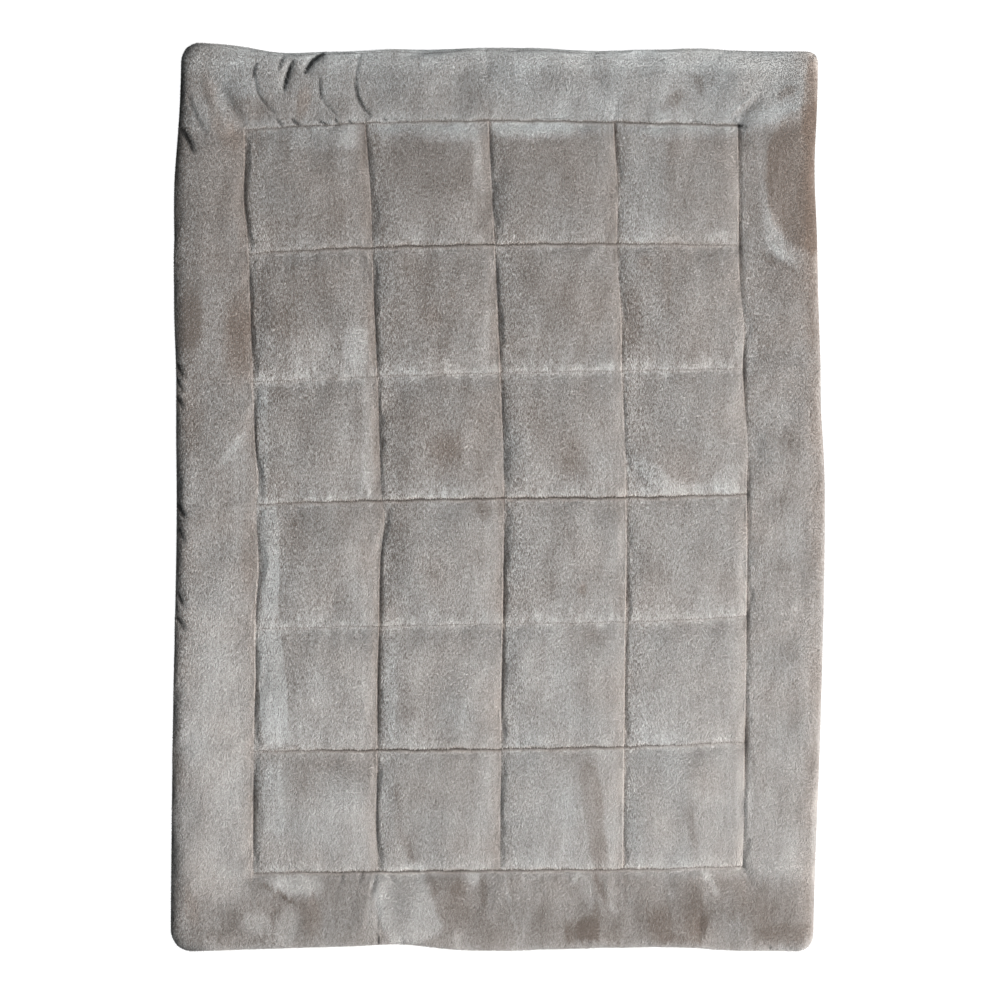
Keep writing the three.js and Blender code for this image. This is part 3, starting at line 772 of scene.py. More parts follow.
# %% Strokes on the squares
SQUARE_STROKES = (  # the same columns, square by square from the head
    (-380, 788, 79, 20, 0, 4, 0.4, 0.5, -0.3),
    (-324, 783, 22, 18, 0, 2, 0.6, 0.3, -0.1),
    (-509, 686, 33, 99, 0, 4, 0.6, 0.2, 0),
    (-395, 671, 84, 92, 0, 4, 0.4, -0.08, 0.1),
    (-346, 636, 18, 40, 0, 2, 0.7, -0.25, 0.1),
    (-105, 803, 62, 20, 0, 4, 0.3, 0.6, -0.2),
    (-241, 805, 31, 13, 0, 2, 0.6, 0.35, -0.2),
    (-43, 746, 9, 62, 0, 4, 0.5, 0.55, 0.1),
    (-144, 730, 92, 57, 0, 4, 0.3, -0.3, 0.1),
    (-160, 741, 18, 35, 0, 2, 0.7, -0.15, 0),
    (-193, 583, 18, 18, 0, 2, 0.7, 0.25, -0.2),
    (82, 810, 88, 18, 0, 4, 0.35, 1, -0.2),
    (8, 686, 11, 79, 0, 4, 0.6, -0.3, -0.3),
    (138, 719, 106, 66, 0, 4, 0.5, -0.12, 0.1),
    (320, 686, 51, 128, 0, 6, 0.08, 0.3, -0.4),
    (424, 805, 101, 15, 0, 4, 0.4, 0.4, -0.2),
    (450, 702, 77, 88, 0, 6, 0.15, 0, 0.1),
    (483, 576, 26, 13, 10, 2, 0.5, 0.75, 0),
    (-446, 444, 99, 75, 0, 4, 0.4, -0.3, 0.15),
    (-479, 389, 26, 44, 0, 2, 0.7, -0.2, 0.4),
    (-311, 332, 29, 44, 0, 4, 0.35, 0.75, -0.1),
    (-441, 323, 13, 35, 8, 2, 0.6, 0.4, 0),
    (-386, 323, 31, 40, 0, 4, 0.7, 0.3, 0),
    (-346, 433, 11, 66, -8, 2, 0.7, 0.15, 0),
    (-153, 433, 92, 84, 0, 4, 0.5, -0.25, 0.15),
    (-144, 398, 20, 20, 0, 2, 0.6, -0.25, 0.5),
    (-100, 447, 7, 9, 0, 2, 0.6, -0.4, 0.8),
    (-25, 367, 9, 53, -8, 4, 0.6, 0.4, 0),
    (105, 411, 110, 88, 0, 4, 0.6, -0.15, 0.1),
    (193, 433, 62, 57, 0, 2, 0.7, -0.12, 0.5),
    (296, 394, 20, 70, 0, 2, 0.5, -0.6, 0.2),
    (324, 517, 15, 15, 0, 2, 0.6, -0.3, 0.8),
    (373, 473, 9, 66, 0, 4, 0.6, -0.25, 0.6),
    (446, 422, 77, 88, 0, 4, 0.7, 0, 0.25),
    (-516, 132, 12, 114, 0, 6, 0.25, 0.6, -0.2),
    (-408, 132, 97, 110, 0, 6, 0.12, 0.05, 0.1),
    (-287, 132, 13, 114, 0, 6, 0.3, 0.35, 0),
    (-483, 229, 26, 18, 0, 2, 0.7, -0.3, 0.2),
    (-142, 143, 121, 106, 0, 4, 0.2, -0.2, 0.2),
    (-111, 110, 31, 31, 0, 2, 1, -0.5, 0.8),
    (-67, 119, 7, 59, 0, 6, 0.4, 0.22, 0),
    (-25, 136, 26, 99, 0, 4, 0.5, -0.25, 0.1),
    (105, 169, 66, 48, 0, 2, 0.7, -0.15, 0.4),
    (162, 88, 29, 44, 5, 2, 1, -0.45, 0.7),
    (94, 48, 44, 31, 0, 2, 0.7, 0.3, 0),
    (424, 77, 79, 40, 0, 2, 0.3, -0.15, 0.2),
    (340, 55, 48, 20, -35, 2, 0.2, 0.6, -0.2),
    (507, 46, 40, 20, 35, 2, 0.3, 0.45, -0.1),
    (424, 18, 114, 11, 0, 4, 0.4, 0.35, -0.1),
    (-501, -143, 20, 128, 0, 6, 0.15, 0.95, -0.2),
    (-402, -68, 88, 40, 0, 4, 0.5, -0.2, 0.1),
    (-402, -150, 88, 99, 0, 4, 0.5, 0, 0),
    (-292, -139, 11, 99, 0, 4, 0.5, 0.15, 0.4),
    (-221, -99, 22, 79, 0, 4, 0.6, -0.4, 0),
    (-32, -29, 18, 18, 0, 2, 0.6, -0.6, 0.3),
    (-47, -117, 4, 88, 0, 4, 0.8, 0.25, 0),
    (155, -95, 18, 44, 0, 4, 0.8, -0.2, 0),
    (188, -200, 9, 11, 0, 2, 0.6, -0.5, 1.2),
    (346, -172, 33, 33, 0, 2, 0.8, -0.2, 0.1),
    (-496, -420, 31, 128, 5, 6, 0.12, 0.95, -0.3),
    (-358, -425, 92, 123, 0, 4, 0.5, 0.17, 0),
    (-232, -425, 15, 121, 0, 4, 0.5, 0.3, -0.25),
    (-201, -473, 26, 20, 0, 2, 0.5, -0.35, 0.1),
    (82, -420, 79, 132, 0, 6, 0.15, 0.2, -0.2),
    (219, -304, 31, 18, 0, 2, 0.6, -0.3, 0.2),
    (358, -480, 66, 62, 0, 4, 0.5, 0.3, -0.3),
    (-492, -667, 24, 84, 0, 4, 0.35, 0.5, -0.25),
    (-386, -585, 55, 18, 0, 4, 0.6, -0.25, 0.1),
    (-358, -711, 77, 77, 0, 4, 0.7, 0.2, -0.1),
    (-241, -689, 13, 114, 0, 4, 0.5, -0.05, -0.25),
    (-219, -667, 7, 55, 8, 2, 0.6, -0.35, 0.1),
    (-199, -766, 9, 53, 22, 2, 0.6, -0.5, 0.2),
    (-100, -689, 88, 114, 0, 4, 0.5, -0.13, 0),
    (94, -689, 79, 119, 0, 6, 0.15, 0.15, -0.25),
    (212, -693, 20, 119, 7, 4, 0.25, -0.55, 0.3),
    (248, -678, 15, 110, 0, 4, 0.5, 0.1, -0.1),
    (358, -689, 66, 121, 0, 6, 0.15, 0.02, -0.2),
    (428, -733, 9, 62, 8, 2, 0.6, -0.4, 0.2),
    (479, -689, 44, 110, 0, 4, 0.6, 0.02, 0),
)
STROKES = BORDER_STROKES + FOOT_STROKES + SQUARE_STROKES
print("strokes:", len(STROKES))

# %% Nap
RIPPLES = {  # strength, how far it is drawn out along the cloth, wave length in millimetres, seed
    "outline aside": (1.2, 3, 25, SEED + 3),
    "outline along": (3.5, 8, 12, SEED + 4),
    "clouds": (0.1, 3, 70, SEED + 5),
    "streaks": (0.08, 5, 16, SEED + 6),
    "warm clouds": (0.15, 1, 160, SEED + 7),
    "swirl": (0.12, 1, 200, SEED + 8),
    "lips": (0.5, 2, 30, SEED + 9),
    "fingers": (0.4, 8, 14, SEED + 10),
}
# Painted light that grows towards the foot and the right.
FOOTWARD_LIGHT, FOOTWARD_LIGHT_REACH, RIGHTWARD_LIGHT = 0.34, 830.0, 0.06
TONE_LIMITS, WARMTH_LIMITS = (-1.4, 1.6), (-1.3, 2.4)
STROKE_FADE, FADE_END = 4.4, 30.0
# Painted light on the slopes just above and below each cross line.
LIP_ABOVE = np.array((0.2, 0.3, 0.7, 0.65, 0.55, 0.25, 0.35))
LIP_BELOW = np.array((0.4, 0.5, 0.65, 0.4, 0.5, 0.45, 0.1))
LIP_ABOVE_REACH, LIP_BELOW_REACH, LIP_START, SHORTEST_FINGER = 20.0, 9.0, 2.6, 0.3
# Painted light on the flanks left of the long lines, which face the lamp: warmer, and darker or lighter by
# line.
FLANK_REACH, LIT_FLANK_WARMTH = 20.0, 0.8
LIT_FLANK_TONE = np.array((-0.15, -0.25, -0.2, 0.2, 0.35))
# A warm tint in the painted shade down in the seams.
SEAM_SHADE_TINT, SEAM_SHADE_TINT_REACH = 1.6, 3.5
SIDE_RIM, END_RIM, RIM_BLEND = 640.0, 920.0, 50.0
# Painted light and shade on the rims: the head and foot rims lighter, the left rim darker, and the right rim
# darker with a thin light edge.
RIM_LIGHT_AND_SHADE = (  # which rim, tone on it, how far in it reaches
    ("right", -0.65, 34.0),
    ("right", 0.7, 9.0),
    ("left", -0.35, 36.0),
    ("head", 1.2, 13.0),
    ("foot", 0.5, 12.0),
)
# Painted warm light on the right rim, which faces the warm lamp, weaker towards the foot.
RIM_LIGHT_WARMTH, RIM_LIGHT_WARMTH_REACH = 1.0, 34.0
RIM_LIGHT_FOOT_SHARE, WARMER_FROM, WARMER_OVER = 0.55, -200.0, 400.0


def past(value, start, length):
    """0 up to a start and 1 from a length further on, with an even slope between."""
    return np.clip((value - start) / length, 0, 1)


def rippled(name, x, y):
    """One of the named ripples: its strength times uneven waves that are drawn out along the cloth."""
    strength, drawn_out, length, seed = RIPPLES[name]
    return strength * ripple(x, y / drawn_out, length, seed)


def nap_and_painted_light(spot):
    """Tone and warmth: the sum of all strokes, each fading out over its softness at a radius of 1 and with
    an outline that wavers as brush marks do, of faint clouds and streaks along the cloth, and of painted
    light: the lips and flanks of the sewn lines, bells of light and shade along the rims, a warm tint in the
    seams' painted shade, and a tone that grows towards the foot and the right."""
    x, y = spot["x"], spot["y"]
    wide = x + rippled("outline aside", x, y)
    high = y + rippled("outline along", x, y)
    # Painted light that grows towards the foot and the right.
    tone = RIGHTWARD_LIGHT * x / CROSS_REACH - FOOTWARD_LIGHT * np.clip(y / FOOTWARD_LIGHT_REACH, -1, 1)
    tone = tone + rippled("clouds", x, y) + rippled("streaks", x, y)
    warmth = rippled("warm clouds", x, y)
    for at_x, at_y, half_width, half_height, turn, roundness, softness, light, warm in STROKES:
        c, s = math.cos(math.radians(turn)), math.sin(math.radians(turn))
        across = np.abs((wide - at_x) * c + (high - at_y) * s) / half_width
        down = np.abs((high - at_y) * c - (wide - at_x) * s) / half_height
        far = (across ** roundness + down ** roundness) ** (1 / roundness)
        fade = np.clip(STROKE_FADE * (far - 1) / softness, -FADE_END, FADE_END)
        inside = 1 / (1 + np.exp(fade))
        tone, warmth = tone + light * inside, warmth + warm * inside
    # Painted light on the lips above and below the cross lines.
    uneven = (1 + rippled("lips", x, y)) * (1 - bell(spot["cross_gap"] / LIP_START))
    finger = spot["cross_gap"] / np.clip(1 + rippled("fingers", x, y), SHORTEST_FINGER, None)
    above = LIP_ABOVE[spot["cross_line"]] * bell(finger / LIP_ABOVE_REACH) * ~spot["below_of"]
    below = LIP_BELOW[spot["cross_line"]] * bell(finger / LIP_BELOW_REACH) * spot["below_of"]
    # Painted light on the slopes left of the long lines, which face the lamp.
    flank = bell(spot["long_gap"] / FLANK_REACH) * ~spot["right_of"]
    tone = tone + uneven * (above + below) + LIT_FLANK_TONE[spot["long_line"]] * flank
    near = {
        "right": past(x, SIDE_RIM, RIM_BLEND), "left": past(-x, SIDE_RIM, RIM_BLEND),
        "head": past(y, END_RIM, RIM_BLEND), "foot": past(-y, END_RIM, RIM_BLEND),
    }
    # Painted light and shade round the rims, by side.
    for side, light, reach in RIM_LIGHT_AND_SHADE:
        tone = tone + light * bell(spot["rim"] / reach) * near[side]
    # Painted warm light on the flanks, and a warm tint in the painted shade of the seams.
    warmth = warmth + LIT_FLANK_WARMTH * flank + SEAM_SHADE_TINT * seam_mark(spot, SEAM_SHADE_TINT_REACH)
    # Painted warm light on the right rim, weaker towards the foot.
    upward = RIM_LIGHT_FOOT_SHARE + (1 - RIM_LIGHT_FOOT_SHARE) * past(y, WARMER_FROM, WARMER_OVER)
    warmth = warmth + RIM_LIGHT_WARMTH * bell(spot["rim"] / RIM_LIGHT_WARMTH_REACH) * near["right"] * upward
    return np.clip(tone, *TONE_LIMITS), np.clip(warmth, *WARMTH_LIMITS)


# %% [markdown]
# ## How rough the fibre stands
# Brushed smooth, plush is even. The grain is painted twice as strong to the right of each long line as to
# its left, and stronger at the left rim: painted raking light, for light that grazes the slopes facing away
# from it catches only the tips of the locks, while the slopes that face it are lit evenly. The upper rows
# are rougher than the lower ones.

# %% Curl of the fibre
ROW_CURL = (1.15, 0.8, 1.1, 1.1, 1.0, 0.85, 0.65, 0.72)
BORDER_CURL, RIGHT_CURL = 0.85, 0.18
# Painted raking light in the grain: stronger on the slopes right of the long lines and at the left rim,
# which face away from the light, and calmer on the lit slopes left of the long lines.
SHADED_SIDE_GRAIN, SHADED_SIDE_REACH = 0.5, 40.0
LIT_SIDE_CALMING, LIT_SIDE_REACH = 0.3, 30.0
CURL_SLOPE = 0.4
RIM_RAKED_GRAIN, RIM_RAKED_GRAIN_REACH = 0.9, 28.0


def curl_and_raking_at(spot):
    """Strength of the grain, 1 for even plush: a curve from head to foot that falls a little to the right,
    less on the border, sloping down across each square, with a bell more to the right of the long lines and
    at the left rim, and a bell less to the left of the long lines. The bells are painted raking light: more
    grain where the slopes face away from the light, less where they face it."""
    # Painted raking light: more grain on the slopes that face away from the light, less on those that face
    # it.
    rough = SHADED_SIDE_GRAIN * bell(spot["long_gap"] / SHADED_SIDE_REACH) * spot["right_of"]
    smooth = LIT_SIDE_CALMING * bell(spot["long_gap"] / LIT_SIDE_REACH) * ~spot["right_of"]
    slope = CURL_SLOPE * np.where(spot["in_border"], 0, 0.5 - spot["u"] % 1)
    rim = RIM_RAKED_GRAIN * bell(spot["rim"] / RIM_RAKED_GRAIN_REACH) * past(-spot["x"], SIDE_RIM, RIM_BLEND)
    over_all = through(ROW_CURL, spot["v"] / ROWS) * (1 - RIGHT_CURL * spot["x"] / CROSS_REACH)
    return over_all * np.where(spot["in_border"], BORDER_CURL, 1) * (1 + slope + rough - smooth + rim)


# %% [markdown]
# ## Pile
# Plush pile stands in small locks of fibre that all lean the way the cloth was brushed. Hair particles
# would be far too many to keep as a mesh, so each lock is one small leaf with four points, its root,
# two shoulders and its tip, and two faces that slope down from its spine. All locks are worked out
# together as arrays and joined into four pieces, from the head to the foot.

# %% Locks of the pile
LOCK_POINTS = 4
LOCK_PITCH = (2.3, 3.6)
LOCK_LENGTH, LENGTH_SPREAD = 5.2, (0.8, 1.2)
LOCK_WIDTH = 1.25
SQUARE_WIDTH, SQUARE_LENGTH = 271.0, 274.0
FLOOR_GAP = 0.2
SHOULDER = 0.42
SPINE = 0.5
LEAN = math.radians(54)
LEAN_SPREAD = math.radians(4)
TURN_SPREAD = 0.12
ROLL_SPREAD = 0.12
BARE_SEAM = 1.8
RIM_ARC = 44.0
CLOSED_FROM, CLOSED_TO, CLOSED_AT = -511.0, 225.0, 6.5


def lock_points(root, normal, leaning, length, rng):
    """Each lock runs from its root along the normal turned towards the leaning direction. Its shoulders
    stand out to both sides, part of the way up and a little below the spine."""
    count = len(root)
    lean = LEAN + LEAN_SPREAD * rng.normal(size=count)
    flat = leaning - normal * np.sum(normal * leaning, axis=1, keepdims=True)
    along = unit(normal * np.cos(lean)[:, None] + flat * np.sin(lean)[:, None])
    side = unit(np.cross(along, normal))
    up = np.cross(side, along)
    roll = ROLL_SPREAD * rng.normal(size=count)[:, None]
    side, up = side * np.cos(roll) + up * np.sin(roll), up * np.cos(roll) - side * np.sin(roll)
    span = (length * MM)[:, None]
    shoulder = root + along * span * SHOULDER - up * SPINE * MM
    half = LOCK_WIDTH * MM * side * np.sqrt(length / LOCK_LENGTH)[:, None]
    points = np.stack([root, shoulder - half, shoulder + half, root + along * span], axis=1)
    points[..., 2] = np.maximum(points[..., 2], FLOOR_GAP * MM)
    return points


def lock_faces(count):
    """Two faces that meet in the spine, like a small roof over the cloth."""
    leaf = np.array([(0, 2, 3), (0, 3, 1)])
    return (LOCK_POINTS * np.arange(count)[:, None, None] + leaf).reshape(-1, 3)


def lock_stations(cells, pitch, square):
    """Even stations for locks, a pitch apart along the cloth."""
    border = round((BORDER_WIDTH - RIM_ROLL) / pitch)
    steps = [border] + [round(square / pitch)] * (cells - 2) + [border]
    return stations(steps, round(RIM_ARC / pitch), [0.0] * cells)


def closing_mark(spot, reach):
    """1 along the hand-sewn line that closed the head edge after turning, and 0 away from it: a bell
    across it."""
    along = (spot["v"] < 1) & (spot["x"] > CLOSED_FROM) & (spot["x"] < CLOSED_TO)
    return along * bell((spot["rim"] - CLOSED_AT) / reach)


# %% Where the locks stand
rng = np.random.default_rng(SEED)
lock_u = lock_stations(COLUMNS, LOCK_PITCH[0], SQUARE_WIDTH)
lock_v = lock_stations(ROWS, LOCK_PITCH[1], SQUARE_LENGTH)
wander = rng.uniform(-0.5, 0.5, (2, len(lock_v), len(lock_u)))
u = np.clip(lock_u[None, :] + wander[0] * np.gradient(lock_u)[None, :], 0, COLUMNS).ravel()
v = np.clip(lock_v[:, None] + wander[1] * np.gradient(lock_v)[:, None], 0, ROWS).ravel()
lock_spots = lay_out(u, v)
bare = np.maximum(seam_mark(lock_spots, BARE_SEAM), closing_mark(lock_spots, BARE_SEAM))
kept = rng.uniform(0, 1, len(u)) > bare
u, v = u[kept], v[kept]
lock_spots = {name: values[kept] for name, values in lock_spots.items()}
print("locks on the face:", len(u))

# %% Roots, directions and tones of the locks
# Painted shade in the pile: the fibre values make each lock darker towards its root and the cloth ground
# between the locks darker than the lock tips, and hollow_shade darkens both further in seams, creases and
# under the left rim.
GROUND_SHADING = 0.45
LOCK_SHADING = np.array((0.2, 0.65, 0.65, 1.0))  # how light a lock is at its root, its shoulders and its tip
UP_THE_LOCK = np.array((0.0, SHOULDER, SHOULDER, 1.0))
LOCK_CELL = np.array([(0.5, 0.1), (0.1, 0.45), (0.9, 0.45), (0.5, 0.9)])
LONG_SHADE, CROSS_SHADE, SEAM_SHADE_REACH = 0.25, 1.6, 1.5
RIM_SHADE, RIM_SHADE_REACH, SHADE_FROM = 1.1, 15.0, 620.0
CLOSED_SHADE = 0.5
CORNER_SHADE, CORNER_AT, CORNER_SHADE_REACH = 0.5, 880.0, 140.0

root = sampled(ground, u, v)
normal = unit(sampled(face_normal, u, v))
turn = rippled("swirl", lock_spots["x"], lock_spots["y"]) + TURN_SPREAD * rng.normal(size=len(u))
leaning = np.stack([np.sin(turn), -np.cos(turn), np.zeros_like(turn)], axis=1)
length = LOCK_LENGTH * pile_share(lock_spots) * rng.uniform(*LENGTH_SPREAD, len(u))
locks = lock_points(root, normal, leaning, length, rng)
chance = rng.uniform(0, 1, len(u))
print("lock length, mm:", round(length.min(), 1), "to", round(length.max(), 1))


def hollow_shade(spot):
    """How far fibre is darkened down in a seam or a deep crease, where little light comes, and under
    the left rim's roll, most of all by the head."""
    crease = np.where(spot["in_border"], folded(spot["x"], spot["y"])[1], 0)
    under = RIM_SHADE * bell(spot["rim"] / RIM_SHADE_REACH) * past(-spot["x"], SHADE_FROM, RIM_BLEND)
    under = under * (1 + CORNER_SHADE * bell((spot["y"] - CORNER_AT) / CORNER_SHADE_REACH))
    sewn = seam_mark(spot, SEAM_SHADE_REACH, LONG_SHADE, CROSS_SHADE, long_power=2)
    return sewn + CLOSED_SHADE * closing_mark(spot, BARE_SEAM) + crease + under


lock_tone, lock_warmth = nap_and_painted_light(lock_spots)
lock_values = {"nap": lock_tone, "warmth": lock_warmth, "curl": curl_and_raking_at(lock_spots), "tuft": chance}
# Painted shade along each lock, read at its root and at its tip.
root_shade = hollow_shade(lock_spots)[:, None]
tip_shade = hollow_shade({**lock_spots, "y": lock_spots["y"] - length * math.sin(LEAN)})[:, None]
lock_shading = LOCK_SHADING - root_shade - (tip_shade - root_shade) * UP_THE_LOCK


# %% Pieces of the pile
def add_attribute(mesh, name, values):
    """One number for every vertex, which a material can read by name."""
    layer = mesh.attributes.new(name, "FLOAT", "POINT")
    layer.data.foreach_set("value", np.ascontiguousarray(values, np.float32))


def add_lock_map(mesh, count):
    """A flat map for baking: each lock has a cell of its own in a square grid of cells."""
    side = math.ceil(math.sqrt(count))
    cell = np.stack([np.arange(count) % side, np.arange(count) // side], axis=1)
    corner = (cell[:, None] + LOCK_CELL[None]) / side
    layer = mesh.uv_layers.new(name="OFBake")
    picked = corner.reshape(-1, 2)[lock_faces(count).ravel()]
    layer.data.foreach_set("uv", np.ascontiguousarray(picked, np.float32).ravel())


PILE_NAMES = ("pile_head", "pile_upper", "pile_lower", "pile_foot")
pile_pieces = []
rank = np.argsort(np.argsort(-root[:, 1]))
for number, name in enumerate(PILE_NAMES):
    mine = rank * len(PILE_NAMES) // len(u) == number
    count = int(mine.sum())
    mesh = new_mesh(name, locks[mine].reshape(-1, 3), [lock_faces(count)])
    for kind, values in lock_values.items():
        add_attribute(mesh, kind, np.repeat(values[mine], LOCK_POINTS))
    add_attribute(mesh, "fibre", lock_shading[mine].ravel())
    add_lock_map(mesh, count)
    pile_pieces.append(add_piece(mesh, smooth=False))
    print(name, "locks:", count, "triangles:", 2 * count)

# %% Nap of the cloth itself
face_tone, face_warmth = nap_and_painted_light(spots)
# The cover's fibre values are painted shade too.
cover_values = {"nap": (face_tone, 0.0), "warmth": (face_warmth, 0.0), "curl": (curl_and_raking_at(spots), 1.0),
                "fibre": (GROUND_SHADING - hollow_shade(spots), GROUND_SHADING)}
for name, (on_face, on_back) in cover_values.items():
    values = np.full(len(skin), on_back)
    values[:face_index.size] = on_face.ravel()
    add_attribute(cover_mesh, name, values)
print("tone of the face, least and most:", round(face_tone.min(), 2), round(face_tone.max(), 2))

# %% [markdown]
# ## Stitching
# The quilting is a plain machine lockstitch through all the layers, seen on both sides as short strands
# of thread that dip into the cloth at both ends. At the head edge, part of the rim was sewn up by hand
# once the cover was turned right side out. Each strand is a small spindle carried along its sewn line.

# %% Stitches
STITCH_PITCH = 5.5
STITCH_LENGTH = 4.6
STITCH_THICK = 0.55
STITCH_SIDES, STITCH_RING = 4, 0.55


def stitch_shape():
    """A spindle of two rings and two points: length along it from -1 to 1, and the sides round it from
    0 to 1."""
    angle = np.arange(STITCH_SIDES) / STITCH_SIDES * 2 * np.pi
    ring = np.stack([np.zeros(STITCH_SIDES), np.cos(angle), np.sin(angle)], axis=1)
    away = (STITCH_RING, 0, 0)
    points = np.concatenate([[(-1, 0, 0)], ring - away, ring + away, [(1, 0, 0)]])
    one = 1 + np.arange(STITCH_SIDES)
    two = np.roll(one, -1)
    start = np.stack([np.zeros_like(one), two, one], axis=1)
    middle = np.concatenate([
        np.stack([one, two, two + STITCH_SIDES], axis=1),
        np.stack([one, two + STITCH_SIDES, one + STITCH_SIDES], axis=1),
    ])
    end = np.stack([np.full_like(one, 2 * STITCH_SIDES + 1), one + STITCH_SIDES, two + STITCH_SIDES], axis=1)
    return points, np.concatenate([start, middle, end])


def sew(path, up):
    """Spindles a pitch apart along a path of points: each lies along the path, with its sides across it
    and up."""
    step = np.linalg.norm(np.diff(path, axis=0), axis=1)
    reach = np.concatenate([[0], np.cumsum(step)])
    at = np.arange(STITCH_PITCH * MM / 2, reach[-1], STITCH_PITCH * MM)

    def read(field, where):
        """A field's values at distances along the path, in proportion between its points."""
        return np.stack([np.interp(where, reach, field[:, k]) for k in range(3)], axis=1)

    along = unit(read(path, at + MM) - read(path, at - MM))
    side = unit(np.cross(read(up, at), along))
    axes = (along * STITCH_LENGTH / 2, side * STITCH_THICK, np.cross(along, side) * STITCH_THICK)
    shape, _ = stitch_shape()
    spindle = sum(axis[:, None] * shape[None, :, k, None] for k, axis in enumerate(axes))
    return read(path, at)[:, None] + MM * spindle


def stitch_mesh(name, strands):
    """All strands as one mesh."""
    strands = np.concatenate(strands)
    shape, faces = stitch_shape()
    numbered = faces[None] + len(shape) * np.arange(len(strands))[:, None, None]
    return new_mesh(name, strands.reshape(-1, 3), [numbered.reshape(-1, 3)])


# %% Seams through the squares
SEAM_STEPS = 1200
STITCH_LIFT = 0.5 * MM
run_across = np.linspace(1, COLUMNS - 1, SEAM_STEPS)
run_down = np.linspace(1, ROWS - 1, SEAM_STEPS)
seam_runs = [(np.full(SEAM_STEPS, float(k)), run_down) for k in range(1, COLUMNS)]
seam_runs += [(run_across, np.full(SEAM_STEPS, float(k))) for k in range(1, ROWS)]
face_strands, back_strands = [], []
for run_u, run_v in seam_runs:
    up = sampled(face_normal, run_u, run_v)
    face_strands.append(sew(sampled(ground, run_u, run_v) + up * STITCH_LIFT, up))
    run = lay_out(run_u, run_v)
    down = np.broadcast_to((0.0, 0.0, -1.0), up.shape)
    back_strands.append(sew(to_frame(run["x"], run["y"], back_height(run)) + down * STITCH_LIFT, down))
print("seams through the squares:", len(seam_runs))

# %% Closing seam of the head edge
head_u = np.linspace(0, COLUMNS, SEAM_STEPS)
head_v = np.full(SEAM_STEPS, CLOSED_AT / BORDER_WIDTH)
head_x = lay_out(head_u, head_v)["x"]
closed = (head_x > CLOSED_FROM) & (head_x < CLOSED_TO)
up = sampled(face_normal, head_u[closed], head_v[closed])
face_strands.append(sew(sampled(ground, head_u[closed], head_v[closed]) + up * STITCH_LIFT, up))
stitches = [
    add_piece(stitch_mesh("face_stitches", face_strands), smooth=True),
    add_piece(stitch_mesh("back_stitches", back_strands), smooth=True),
]
print("stitches on the face and the back:", sum(map(len, face_strands)), sum(map(len, back_strands)))

# %% [markdown]
# ## Finishes
# Cloth and pile share one tone: dark and warm where the nap lies away, pale and cool where it lies towards
# the light, with a fine grain that is drawn out along the cloth. It is built once as a node group, and each
# material gives it its own values. The thread is a dark matt twist, light and dark in turns; its darkness is
# partly painted shade of the sewn grooves it lies in.

# %% Shared tone
DARK_TONE = (0.160, 0.136, 0.120, 1)
MIDDLE_TONE = (0.326, 0.309, 0.296, 1)
LIGHT_TONE = (0.505, 0.496, 0.484, 1)
PALE_TONE = (0.595, 0.590, 0.578, 1)
MIDDLE_AT, LIGHT_AT = 0.4, 0.8
WARM_SHIFT = (0.031, -0.016, -0.046)
NAP_GAIN, NAP_MIDDLE = 0.336, 0.4
TUFT_GAIN = 0.22
GRAIN_SCALE = (700, 140, 300)
PIT_POWER, PIT_GAIN, PIT_MIDDLE = 0.5, 2.45, 1.72
# These turn the painted shade in the fibre values into a darkening of the colour.
SHADING_GAIN, ROOT_LIGHT, LEAST_LIGHT = 0.45, 0.62, 0.1


def put(tree, kind, inputs=None, **settings):
    """Adds a node, sets its own settings, and links or sets its inputs."""
    node = tree.nodes.new(kind)
    for name, value in settings.items():
        setattr(node, name, value)
    for name, value in (inputs or {}).items():
        if isinstance(value, bpy.types.NodeSocket):
            tree.links.new(value, node.inputs[name])
        else:
            node.inputs[name].default_value = value
    return node


def maths(tree, operation, *values):
    """What a maths node makes of values, each a link or a number."""
    return put(tree, "ShaderNodeMath", dict(enumerate(values)), operation=operation).outputs[0]


def vector_maths(tree, operation, first, second):
    """The same for vectors, where a scale has an input of its own."""
    inputs = {0: first, "Scale" if operation == "SCALE" else 1: second}
    return put(tree, "ShaderNodeVectorMath", inputs, operation=operation).outputs[0]


